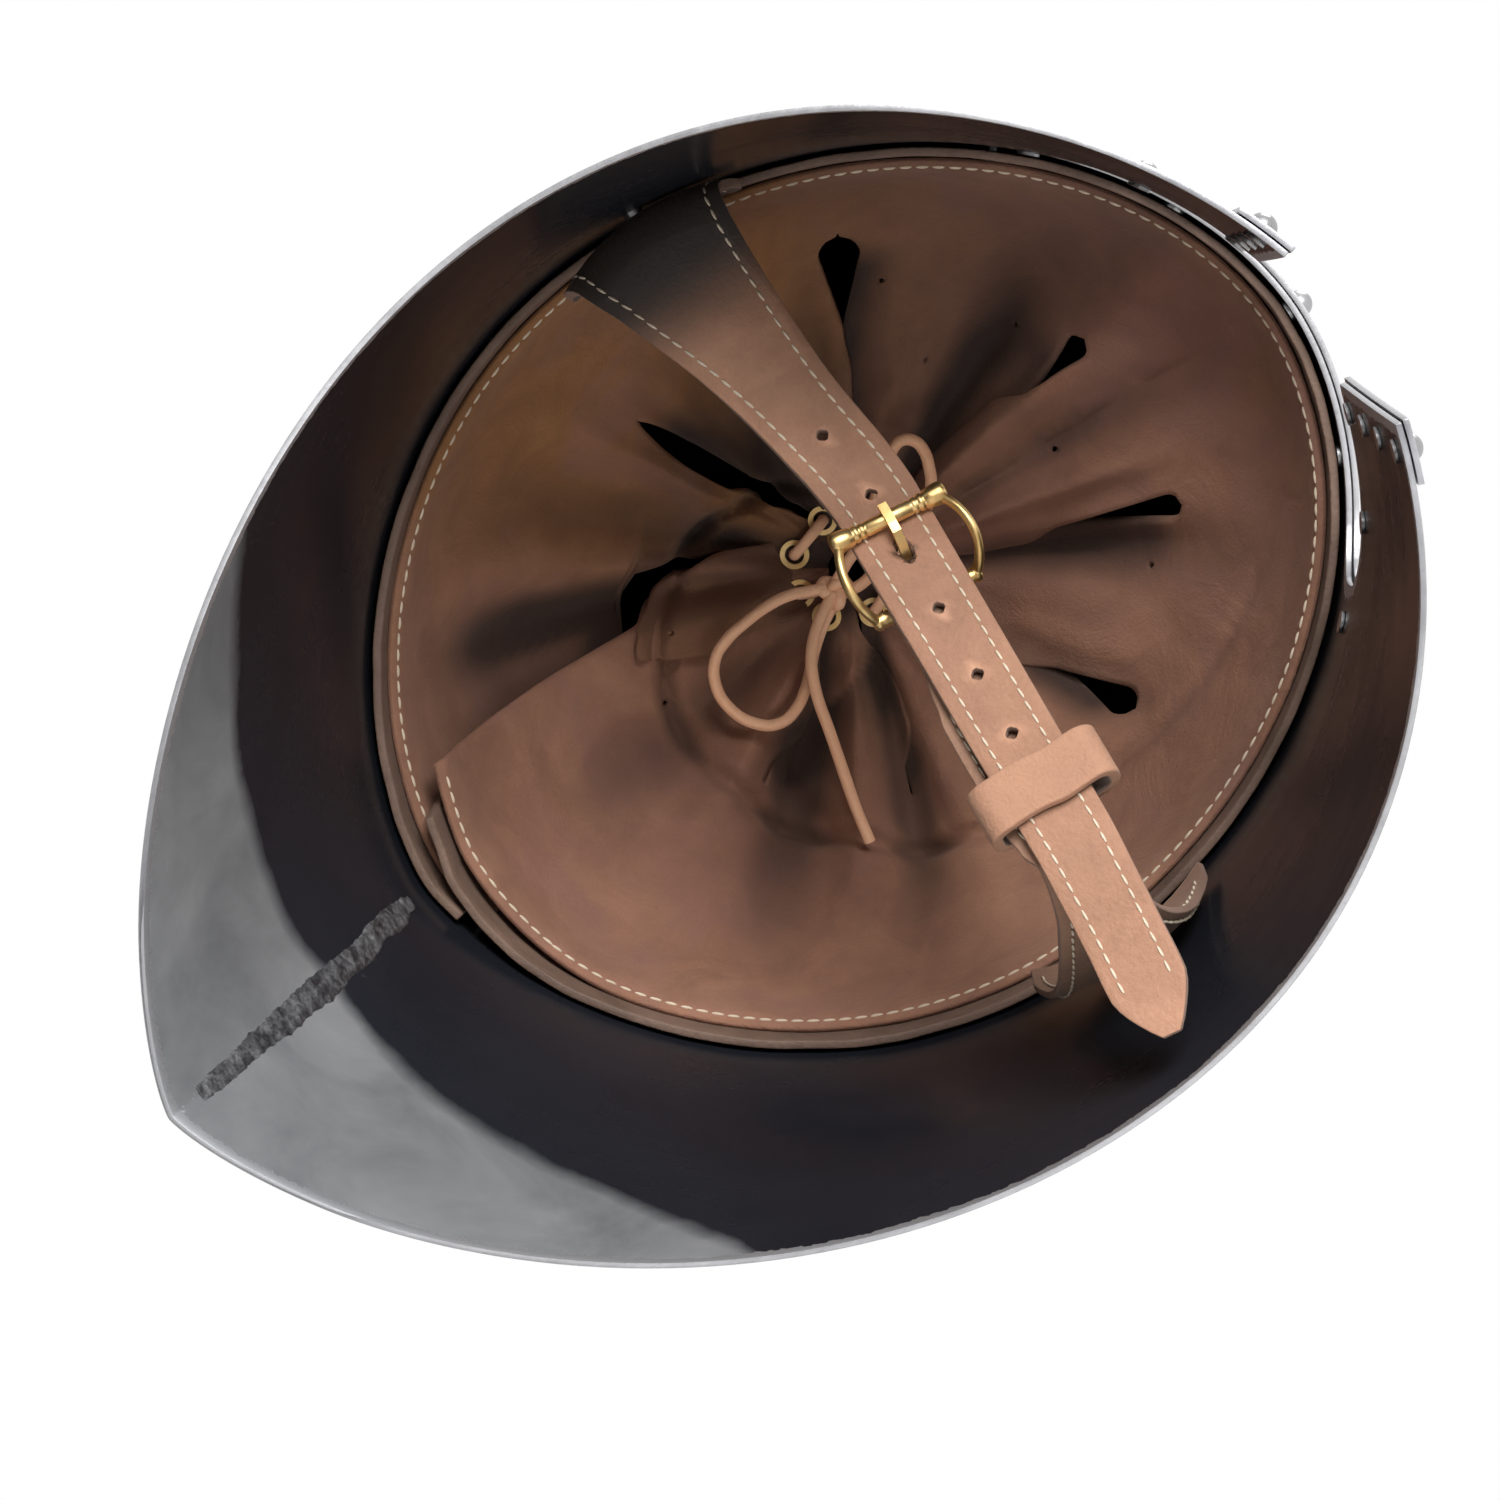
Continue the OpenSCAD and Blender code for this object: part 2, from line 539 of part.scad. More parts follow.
// The straight part of the straps: u runs to the tip, v to the face, n away from the head
buckle_at = [1.5, -26.4, 70.3];
run = unit([0.87, 0.01, -0.49]);
buckle_roll = 18;
keeper_roll = 9;
function across(d, roll) = let (w = [0, -cos(roll), sin(roll)]) unit(w - d * (w * d));
function outward(d, roll) = cross(d, across(d, roll));
module along_run(u, roll) {
  v = across(run, roll);
  n = cross(run, v);
  o = buckle_at + u * run;
  multmatrix([[run.x, v.x, n.x, o.x], [run.y, v.y, n.y, o.y], [run.z, v.z, n.z, o.z], [0, 0, 0, 1]])
    children();
}
function run_roll(u) = mix(buckle_roll, keeper_roll, clamp((u - 14) / 26, 0, 1));
function strap_half(u) = mix(strap_w, strap_tip_w, clamp((u + 44) / 150, 0, 1)) / 2;
flare_half = flare_w / 2;
// Stations are [middle, direction, width direction, half width, dish, half thickness]
function strap_ring(s) =
  let (d = s[1], v = s[2], n = cross(d, v), w = s[3])
  concat([for (t = [-1, -0.5, 0, 0.5, 1]) s[0] + v * w * t + n * (s[5] - s[4] * w * w * t * t)],
    [for (t = [1, 0.5, 0, -0.5, -1]) s[0] + v * w * t + n * (-s[5] - s[4] * w * w * t * t)]);
function run_station(u, n, half, t) =
  let (r = run_roll(u))
  [buckle_at + u * run + n * outward(run, r), run, across(run, r), half, 0, t];
// Stations from [x, y, z, roll, half width, dish share]
function free_stations(l, first, last) = [for (i = [0:len(l) - 1])
  let (p = l[i], a = i > 0 ? l[i - 1] : first, b = i < len(l) - 1 ? l[i + 1] : last,
       d = unit([b[0] - a[0], b[1] - a[1], b[2] - a[2]]))
  [[p[0], p[1], p[2]], d, across(d, p[3]), p[4], dish * p[5], strap_t / 2]];

anchor_y = -anchor_front;
// The straps' top edges lean in by this much, as the wall narrows upwards
lean = 1.6;
billet_base = [
  [-strap_mid_x + lean, anchor_y, anchor_z + 11, 0, flare_half, 1],
  [-strap_mid_x + 0.3 * lean, anchor_y, anchor_z + 5, 0, flare_half, 1],
  [-strap_mid_x, anchor_y, anchor_z - 1, 0, flare_half - 0.6, 1],
  [-strap_mid_x + 0.5, anchor_y - 0.2, anchor_z - 6, 0, flare_half - 2, 1],
  [-strap_mid_x + 2.8, anchor_y - 0.5, anchor_z - 9.6, 1, flare_half - 3.4, 0.9],
  [-90, -17, 94, 2, 18, 0.7],
  [-84, -17.9, 93.3, 3, 16.3, 0.5],
  [-75, -19.1, 94, 5, 14.4, 0.3],
  [-64, -20.6, 94.3, 7, 12.4, 0.15],
  [-53, -22, 93.4, 10, 10.9, 0],
  [-44, -23.2, 91.6, 12, 10.1, 0],
  [-35.2, -24.6, 88.9, 14, 9.8, 0],
  [-28.5, -25.7, 86.2, 16, 9.7, 0]];
billet_tip = [
  [70, -24.9, 33, 6, 8.5, 0],
  [80, -24, 28.8, 3, 8.4, 0],
  [90.5, -22.9, 24.6, 1, 8.3, 0],
  [95, -22.4, 22.8, 0, 6.2, 0],
  [99, -22, 21.3, 0, 3.4, 0],
  [100.4, -21.8, 20.8, 0, 2, 0]];
function at_u(u) = buckle_at + u * run;
billet_stations = concat(
  free_stations(billet_base, [-strap_mid_x + 3 * lean, anchor_y, anchor_z + 20], at_u(-22)),
  [for (u = [-22, -13, -5, 5, 14, 21, 28, 34, 40, 47, 57, 64]) run_station(u, 0, strap_half(u), strap_t / 2)],
  free_stations(billet_tip, at_u(57), [101.8, -21.6, 20.3]));
first_hole = billet_stations[11];
tongue_hole_u = -9.4;

billet_under = 1.6;
fold_t = 1.6;
fold_half = 7.6;
bar_n = -billet_under - fold_t - bar_r - 0.15;
fold_r = bar_r + 0.08 + fold_t / 2;
return_n = -billet_under - fold_t - 0.35 - fold_t / 2;
chape_rise = [
  [63.4, -24.5, 40.3, 8, 8.8, 0],
  [66.9, -23.7, 41.3, 7, 8.9, 0],
  [70.4, -22.6, 43.7, 6, 9.1, 0],
  [73.7, -21.4, 47.7, 5, 9.4, 0],
  [78, -19.8, 53.8, 4, 10.4, 0.1],
  [83, -18.3, 61.4, 3, 12, 0.2],
  [87.2, -17.3, 69, 2, 13.8, 0.35],
  [91, -16.7, 77.4, 1, 16, 0.5],
  [94, -16.3, 86, 0, 18.3, 0.7],
  [strap_mid_x - 0.8, anchor_y - 0.1, anchor_z - 11, 0, flare_half - 2, 0.9],
  [strap_mid_x, anchor_y, anchor_z - 4, 0, flare_half - 0.6, 1],
  [strap_mid_x, anchor_y, anchor_z + 1, 0, flare_half, 1],
  [strap_mid_x - 0.3 * lean, anchor_y, anchor_z + 5, 0, flare_half, 1],
  [strap_mid_x - lean, anchor_y, anchor_z + 11, 0, flare_half, 1]];
function fold_station(u, n, du, dn, half) =
  let (v = across(run, buckle_roll), m = cross(run, v))
  [buckle_at + u * run + n * m, unit(du * run + dn * m), v, half, 0, fold_t / 2];
chape_stations = concat(
  [fold_station(18, return_n - 0.6, -1, 0.05, fold_half), fold_station(12, return_n - 0.3, -1, 0.03, fold_half),
   fold_station(7, return_n - 0.8, -1, -0.2, fold_half), fold_station(4, bar_n - 1.6, -1, -0.3, fold_half),
   fold_station(1.6, bar_n - fold_r, -1, -0.05, fold_half)],
  [for (t = [-90:-22.5:-270]) fold_station(fold_r * cos(t), bar_n + fold_r * sin(t), sin(t), -cos(t), fold_half)],
  [fold_station(5, bar_n + fold_r, 1, 0, fold_half), fold_station(12, bar_n + fold_r, 1, 0, 8.4)],
  [for (u = [24, 30, 40, 48, 56, 62, 66.5]) run_station(u, -billet_under - strap_t / 2, strap_half(u), strap_t / 2)],
  free_stations(chape_rise, at_u(64) + [1.3, 0.5, 2.3], [strap_mid_x - 3 * lean, anchor_y, anchor_z + 20]));

module billet_strap() {
  n = cross(first_hole[1], first_hole[2]);
  color([0.75, 0.54, 0.42]) in_place() difference() {
    skin([for (s = billet_stations) strap_ring(s)]);
    anchor_side(-1) translate([0, 0, -20]) cylinder(r = anchor_shank_r + anchor_play, h = 30, $fn = 40);
    translate(first_hole[0]) rotate([0, acos(n.z), atan2(n.y, n.x)])
      cylinder(r = hole_r, h = 8, center = true, $fn = 32);
    for (k = [-1, 1, 2, 3]) let (u = tongue_hole_u + k * hole_step) along_run(u, run_roll(u))
      cylinder(r = hole_r, h = 8, center = true, $fn = 32);
    along_run(tongue_hole_u, buckle_roll) for (x = [-1.6, 1.6]) translate([x, 0, 0])
      cylinder(r = tongue_w / 2 + 0.45, h = 8, center = true, $fn = 32);
    along_run(tongue_hole_u, buckle_roll) cube([3.2, tongue_w + 0.9, 8], center = true);
  }
}

module chape_strap() {
  color([0.74, 0.53, 0.41]) in_place() difference() {
    skin([for (s = chape_stations) strap_ring(s)]);
    anchor_side(1) translate([0, 0, -20]) cylinder(r = anchor_shank_r + anchor_play, h = 30, $fn = 40);
    along_run(0, buckle_roll) translate([-6, -tongue_w / 2 - 0.35, bar_n - 5])
      cube([9.2, tongue_w + 0.7, 9]);
  }
}

// The buckle: a hinge bar in the fold, a front bar over the billet, and two bowed arms
front_n = strap_t / 2 + bar_r + 0.3;
arm_v = strap_half(-bar_step) + 1.75;
arm_span = 49.4;
arm_r = 1.1;
module buckle_frame() {
  rise = front_n - bar_n;
  chord = norm([bar_step, rise]);
  big_r = chord / 2 / sin(arm_span);
  sag = big_r * cos(arm_span);
  cu = -bar_step / 2 - sag * rise / chord;
  cn = (front_n + bar_n) / 2 - sag * bar_step / chord;
  color([0.86, 0.7, 0.36]) in_place() along_run(0, buckle_roll) {
    for (p = [[0, bar_n], [-bar_step, front_n]]) translate([p.x, 0, p.y]) rotate([90, 0, 0]) {
      cylinder(r = bar_r, h = 2 * arm_v, center = true, $fn = 40);
      for (s = [-1, 1]) translate([0, 0, s * arm_v]) sphere(bar_r + 0.45, $fn = 32);
    }
    for (s = [-1, 1]) translate([cu, s * arm_v, cn]) rotate([90, 0, 0])
      rotate([0, 0, atan2(bar_step, rise) - arm_span])
        rotate_extrude(angle = 2 * arm_span, $fn = 96) translate([big_r, 0]) circle(arm_r, $fn = 32);
  }
}

tongue_line = [[-0.9, bar_n + 1.95], [-5.4, bar_n + 1.95], [-7.6, -2.3], [-8.9, -0.9], [-9.9, 0.9],
  [-11.1, 2.9], [-12.8, front_n + 1.7], [-14.8, front_n + bar_r + 0.12 + tongue_t / 2],
  [-bar_step - 2.6, front_n + bar_r + 0.12 + tongue_t / 2]];
function line_side(l, i) = let (a = l[max(i - 1, 0)], b = l[min(i + 1, len(l) - 1)], d = unit(b - a)) [-d.y, d.x];
module buckle_tongue() {
  m = len(tongue_line) - 1;
  half = tongue_t / 2;
  color([0.86, 0.7, 0.36]) in_place() along_run(0, buckle_roll) rotate([90, 0, 0]) difference() {
    union() {
      translate([0, bar_n]) cylinder(r = bar_r + 1.16, h = tongue_w, center = true, $fn = 48);
      linear_extrude(tongue_w, center = true)
        polygon(concat([for (i = [0:m]) tongue_line[i] + half * line_side(tongue_line, i)],
          [for (i = [m:-1:0]) tongue_line[i] - half * line_side(tongue_line, i)]));
    }
    translate([0, bar_n]) cylinder(r = bar_r + 0.06, h = tongue_w + 2, center = true, $fn = 48);
  }
}

keeper_u = 51.8;
module loop_outline(w, h, r) {
  for (x = [-1, 1], y = [-1, 1]) translate([x * (w / 2 - r), y * (h / 2 - r)]) circle(r, $fn = 40);
  square([w, h - 2 * r], center = true);
  square([w - 2 * r, h], center = true);
}
module strap_keeper() {
  stack = billet_under + strap_t * 1.5;
  inner_w = 2 * strap_half(keeper_u) + keeper_room;
  inner_h = stack + 1.2;
  color([0.8, 0.59, 0.43]) in_place() along_run(keeper_u, keeper_roll)
    translate([0, 0, strap_t / 2 - stack / 2]) multmatrix([[0, 0, 1, 0], [1, 0, 0, 0], [0, 1, 0, 0], [0, 0, 0, 1]])
      linear_extrude(keeper_w, center = true) difference() {
        loop_outline(inner_w + 2 * keeper_t, inner_h + 2 * keeper_t, 3.6);
        loop_outline(inner_w, inner_h, 1.4);
      }
}

skull_shell();
face_band();
face_band_rivets();
leather_band();
liner_rivets();
liner_washers();
suede_liner();
tongue_eyelets();
lace_gather();
lace_knot();
lace_long_loop();
lace_short_loop();
lace_tail();
billet_anchor_rivet();
billet_anchor_washer();
chape_anchor_rivet();
chape_anchor_washer();
billet_strap();
chape_strap();
buckle_frame();
buckle_tongue();
strap_keeper();
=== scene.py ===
import math
from collections import namedtuple
from functools import lru_cache

import bmesh
import bpy
from mathutils import Matrix, Vector, noise

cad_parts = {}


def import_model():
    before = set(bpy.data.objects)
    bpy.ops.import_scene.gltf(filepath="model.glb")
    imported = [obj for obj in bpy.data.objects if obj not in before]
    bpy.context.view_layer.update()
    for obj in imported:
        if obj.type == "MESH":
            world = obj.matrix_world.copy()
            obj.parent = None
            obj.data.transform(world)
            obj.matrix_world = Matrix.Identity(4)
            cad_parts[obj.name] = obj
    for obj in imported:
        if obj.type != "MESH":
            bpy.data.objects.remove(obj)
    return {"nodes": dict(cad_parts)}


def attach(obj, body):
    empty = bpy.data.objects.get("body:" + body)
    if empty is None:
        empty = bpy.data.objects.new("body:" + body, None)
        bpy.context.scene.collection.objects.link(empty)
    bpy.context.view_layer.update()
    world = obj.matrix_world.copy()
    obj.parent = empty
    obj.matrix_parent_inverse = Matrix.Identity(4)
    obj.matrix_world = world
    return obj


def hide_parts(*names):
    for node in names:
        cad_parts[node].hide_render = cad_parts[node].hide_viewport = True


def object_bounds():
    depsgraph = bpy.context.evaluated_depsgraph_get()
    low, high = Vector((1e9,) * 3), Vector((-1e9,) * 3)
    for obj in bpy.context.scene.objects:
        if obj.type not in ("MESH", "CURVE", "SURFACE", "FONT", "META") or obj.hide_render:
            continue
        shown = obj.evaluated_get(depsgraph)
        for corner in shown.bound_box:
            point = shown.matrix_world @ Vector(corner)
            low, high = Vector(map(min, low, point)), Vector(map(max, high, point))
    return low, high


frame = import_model()
cad_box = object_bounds()

# Sizes of the part, in millimetres, before the helmet is centred on the origin
HEIGHT, RIM_W, RIM_FRONT, RIM_REAR = 297, 228, 130.8, 153.8
BROW_W, BROW_FRONT, BROW_REAR, BROW_Z, RIM_RISE = 197.4, 122, 112.5, 150, 16.6
PLATE_T, BAND_T, BAND_GAP, BAND_W = 1.2, 1.2, 0.4, 12.5
SLOT_FOOT, SLOT_HEAD, EYE_HALF, EYE_LOW, EYE_TOP, EYE_ROUND, CHEEK_ROUND = 19.8, 15.6, 56, 94, 125, 12, 8
LEATHER_Z, LEATHER_H, LEATHER_T, LEATHER_GAP = 130, 28, 2, 1.1
SUEDE_Z, SUEDE_T, SUEDE_RISE = 139, 1.5, 64
STRAP_W, STRAP_TIP_W, STRAP_T, FLARE_W, DISH = 19.4, 16.6, 2.4, 45, 0.0112
ANCHOR_Z, ANCHOR_Y, LEAN = 106, -16, 1.6
BAR_R, BAR_STEP, KEEPER_W, KEEPER_T, KEEPER_ROOM, KEEPER_U = 1.45, 17, 12, 2.6, 7.5, 51.8
LACE_D = 3
AXIS_Y = -12.395
GATHER = Vector((-2, -1))
MM = 0.001


def put(p):
    """A point in millimetres, in the helmet's own frame, in metres."""
    return Vector((p[0], p[1] + AXIS_Y, p[2])) * MM


def show(name, data):
    """Puts a new object into the scene."""
    thing = bpy.data.objects.new(name, data)
    bpy.context.scene.collection.objects.link(thing)
    return thing


# Camera at the photograph's angle, fitted to it: below the rim and a little ahead of it
FOCAL_PIXELS, FRAME_PIXELS, SENSOR = 4883.3, 1500, 36
CAMERA_AT = (-86.05, -122.07, -950)
CAMERA_RIGHT = (0.5612, -0.8249, 0.0655)
CAMERA_DOWN = (0.8223, 0.5472, -0.1552)
CAMERA_AHEAD = (0.0922, 0.1410, 0.9857)


def photo_camera():
    camera = bpy.data.cameras.new("camera")
    camera.sensor_width = SENSOR
    camera.lens = FOCAL_PIXELS / FRAME_PIXELS * SENSOR
    view = show("camera", camera)
    right, down, ahead = (Vector(d).normalized() for d in (CAMERA_RIGHT, CAMERA_DOWN, CAMERA_AHEAD))
    turned = Matrix((right, -down, -ahead)).transposed().to_4x4()
    view.matrix_world = Matrix.Translation(put(CAMERA_AT)) @ turned
    bpy.context.scene.camera = view


photo_camera()


# Small helpers for numbers
def mix(a, b, t):
    return a + (b - a) * t


def clamp(v, lo, hi):
    return min(max(v, lo), hi)


def ease(t):
    t = clamp(t, 0.0, 1.0)
    return t * t * (3 - 2 * t)


def rough(x, y=0.0, z=0.0):
    """Even noise from -1 to 1 that is the same on every run."""
    return noise.noise(Vector((x, y, z)))


def scaled(color, k):
    return tuple(c * k for c in color)


# The skull's surface
def flare(z, power):
    return max(0.0, 1 - z / BROW_Z) ** power


def dome(z):
    if z <= BROW_Z:
        return 1.0
    return max(0.0, 1 - ((z - BROW_Z) / (HEIGHT - BROW_Z)) ** 2.4) ** (1 / 2.2)


def half_width(z):
    return dome(z) * mix(BROW_W / 2, RIM_W / 2, flare(z, 1.6))


def face_reach(z):
    return dome(z) * mix(BROW_FRONT, RIM_FRONT, flare(z, 1.2))


def nape_reach(z):
    return dome(z) * mix(BROW_REAR, RIM_REAR, flare(z, 1.9))


def skin_point(th, z):
    c, s = max(0.0, math.cos(math.radians(th))), math.sin(math.radians(th))
    if th < 0:
        return Vector((half_width(z) * c ** mix(1.06, 1.17, flare(z, 1)), face_reach(z) * s, z))
    return Vector((half_width(z) * c ** mix(1.14, 1.52, flare(z, 1)), nape_reach(z) * s, z))


def skin_normal(th, z):
    th, z = clamp(th, -88, 88), clamp(z, 1, HEIGHT - 1.3)
    around = skin_point(th + 1, z) - skin_point(th - 1, z)
    return around.cross(skin_point(th, z + 1) - skin_point(th, z - 1)).normalized()


def side(a):
    a %= 360
    return (a - 90, 1) if a <= 180 else (270 - a, -1)


def wall(a, z, off=0.0):
    """The skull's wall at section a: 0 at the face, 90 at the left ear, 180 at the nape."""
    th, s = side(a)
    n = skin_normal(th, z)
    if abs(th) > 89:
        n = Vector((0, n.y, n.z)) / (n.y * n.y + n.z * n.z)
    p = skin_point(th, z) + off * n
    return Vector((s * p.x, p.y, p.z))


def rim_z(a):
    th = side(a)[0]
    y = (RIM_FRONT if th < 0 else RIM_REAR) * math.sin(math.radians(th))
    t = clamp((y + RIM_FRONT - 16) / (RIM_FRONT + RIM_REAR - 32), 0, 1)
    return RIM_RISE * math.sin(math.pi * t) ** 1.5


def face_section(x, z):
    """The section a at which the skull's front is x wide at height z."""
    c = clamp(abs(x) / half_width(z), 0, 1) ** (1 / mix(1.06, 1.17, flare(z, 1)))
    a = 90 - math.degrees(math.acos(c))
    return a if x >= 0 else 360 - a


# Making meshes
def finish_mesh(bm, name, body, material, replaces=()):
    """Puts a mesh into the scene as a piece that rides on a body."""
    mesh = bpy.data.meshes.new(name)
    bm.to_mesh(mesh)
    bm.free()
    mesh.shade_smooth()
    for m in material if isinstance(material, (list, tuple)) else [material]:
        mesh.materials.append(m)
    piece = show(name, mesh)
    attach(piece, body)
    if replaces:
        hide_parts(*replaces)
    return piece


def float_layers(bm, *names):
    """New layers with one number for each vertex."""
    for name in names:
        bm.verts.layers.float.new(name)
    return [bm.verts.layers.float[name] for name in names]


def sheet_grid(bm, columns, rows, place, flat=None, joined=False, mark=None):
    """A grid with u across and v up, each vertex put where place(u, v) says, in millimetres."""
    made = bmesh.ops.create_grid(bm, x_segments=columns, y_segments=rows, size=0.5)["verts"]
    layer = bm.loops.layers.uv.get("flat") or bm.loops.layers.uv.new("flat")
    for face in {f for v in made for f in v.link_faces}:
        for loop in face.loops:
            u, v = loop.vert.co.x + 0.5, loop.vert.co.y + 0.5
            loop[layer].uv = flat(u, v) if flat else (u, v)
    for vert in made:
        u, v = vert.co.x + 0.5, vert.co.y + 0.5
        vert.co = put(place(u, v))
        if mark:
            mark(vert, u, v)
    if joined:
        bmesh.ops.remove_doubles(bm, verts=made, dist=1e-6)
    return made


def close_ends(bm):
    edges = [e for e in bm.edges if e.is_boundary]
    bmesh.ops.holes_fill(bm, edges=edges, sides=0)
    bmesh.ops.recalc_face_normals(bm, faces=bm.faces)


def thicken(piece, thickness, offset, inner=0, rim=0):
    shell = piece.modifiers.new("thickness", "SOLIDIFY")
    shell.thickness = thickness * MM
    shell.offset = offset
    shell.use_even_offset = True
    shell.use_quality_normals = True
    shell.material_offset = inner
    shell.material_offset_rim = rim


def soften(piece, width, segments=2, angle=40):
    edge = piece.modifiers.new("edges", "BEVEL")
    edge.width = width * MM
    edge.segments = segments
    edge.limit_method = "ANGLE"
    edge.angle_limit = math.radians(angle)


def punch(bm, at, radius, along=None, stretch=0.0):
    """A round hole, or an oval one, at the vertex nearest to a place."""
    spot = put(at)
    vert = min(bm.verts, key=lambda v: (v.co - spot).length_squared)
    centre = vert.co.copy()
    cut = bmesh.ops.bevel(bm, geom=[vert], offset=radius * MM, offset_type="OFFSET", segments=3,
                          profile=0.5, affect="VERTICES", material=-1)
    inside = set(cut["faces"])
    ring = {v for f in inside for v in f.verts if any(g not in inside for g in v.link_faces)}
    bmesh.ops.delete(bm, geom=list(inside), context="FACES")
    for v in ring:
        if not v.is_valid:
            continue
        out = (v.co - centre).normalized()
        v.co = centre + out * radius * MM
        if along is not None:
            way = out.dot(along)
            v.co += along * math.copysign(stretch * MM, way) * min(1, abs(way) * 2)


def tube(bm, path, radius, sides, rows, squash):
    """A tube along path(v), which gives a middle and two directions across it, in millimetres."""
    def place(u, v):
        middle, a, b = path(v)
        r = radius(v)
        turn = 2 * math.pi * u
        return middle + a * (r * math.cos(turn)) + b * (r * squash * math.sin(turn))
    made = sheet_grid(bm, sides, rows, place, joined=True)
    return [v for v in made if v.is_valid]


# Materials
class Nodes:
    """Short ways to add nodes to a material or to the surround."""

    def __init__(self, tree):
        self.nodes = tree.nodes
        self.links = tree.links

    def link(self, a, b):
        self.links.new(a, b)

    def math(self, operation, a, b=None):
        m = self.nodes.new("ShaderNodeMath")
        m.operation = operation
        for socket, value in zip(m.inputs, (a, b)):
            if isinstance(value, (int, float)):
                socket.default_value = value
            elif value is not None:
                self.link(value, socket)
        return m.outputs[0]

    def total(self, *parts):
        """The sum of values, each given with its weight."""
        first, *others = (self.math("MULTIPLY", value, weight) for value, weight in parts)
        for other in others:
            first = self.math("ADD", first, other)
        return first


class Finish(Nodes):
    """A material on the shader that Blender gives it."""

    def __init__(self, name, **sockets):
        self.material = bpy.data.materials.new(name)
        self.material.use_nodes = True
        super().__init__(self.material.node_tree)
        self.shader = self.nodes["Principled BSDF"]
        for key, value in sockets.items():
            self.shader.inputs[key.replace("_", " ")].default_value = value
        self.coords = self.nodes.new("ShaderNodeTexCoord").outputs["Object"]

    def noise(self, scale, detail=4.0, rough=0.55, vector=None, distortion=0.0):
        n = self.nodes.new("ShaderNodeTexNoise")
        n.inputs["Scale"].default_value = scale
        n.inputs["Detail"].default_value = detail
        n.inputs["Roughness"].default_value = rough
        n.inputs["Distortion"].default_value = distortion
        self.link(vector or self.coords, n.inputs["Vector"])
        return n.outputs["Fac"]

    def ramp(self, value, *stops):
        r = self.nodes.new("ShaderNodeValToRGB")
        while len(r.color_ramp.elements) < len(stops):
            r.color_ramp.elements.new(0.5)
        for element, (at, color) in zip(r.color_ramp.elements, stops):
            element.position = at
            color = (color,) * 3 if isinstance(color, (int, float)) else color
            element.color = (*color, 1)
        self.link(value, r.inputs["Fac"])
        return r.outputs["Color"]

    def blend(self, factor, a, b, mode="MIX"):
        m = self.nodes.new("ShaderNodeMix")
        m.data_type = "RGBA"
        m.blend_type = mode
        for socket, value in ((m.inputs[0], factor), (m.inputs[6], a), (m.inputs[7], b)):
            if isinstance(value, (tuple, list)):
                socket.default_value = (*value, 1)
            elif isinstance(value, (int, float)):
                socket.default_value = value
            else:
                self.link(value, socket)
        return m.outputs[2]

    def bump(self, height, strength, distance):
        b = self.nodes.new("ShaderNodeBump")
        b.inputs["Strength"].default_value = strength
        b.inputs["Distance"].default_value = distance
        self.link(height, b.inputs["Height"])
        self.to("Normal", b.outputs["Normal"])

    def stretch(self, x, y, z):
        m = self.nodes.new("ShaderNodeMapping")
        m.inputs["Scale"].default_value = (x, y, z)
        self.link(self.coords, m.inputs["Vector"])
        return m.outputs["Vector"]

    def attribute(self, name):
        n = self.nodes.new("ShaderNodeAttribute")
        n.attribute_name = name
        return n.outputs["Fac"]

    def to(self, name, value):
        self.link(value, self.shader.inputs[name])


def brushed_steel(name, base, rough_level):
    """Bare steel, unevenly stained and brushed along the plate."""
    f = Finish(name, Metallic=1.0)
    grain = f.noise(60, 6, 0.7, f.stretch(1, 1, 14))
    specks = f.noise(420, 3, 0.6)
    uneven = f.total((f.noise(9, 4, 0.6), 0.5), (grain, 0.5))
    tone = f.ramp(uneven, (0.3, scaled(base, 0.7)), (0.7, scaled(base, 1.06)))
    spotted = f.ramp(specks, (0.62, 0.0), (0.75, 0.35))
    f.to("Base Color", f.blend(spotted, tone, scaled(base, 0.45)))
    f.to("Roughness", f.ramp(uneven, (0.25, rough_level * 0.75), (0.75, rough_level * 1.35)))
    f.bump(f.total((grain, 0.7), (specks, 0.3)), 0.3, 0.0006)
    return f.material


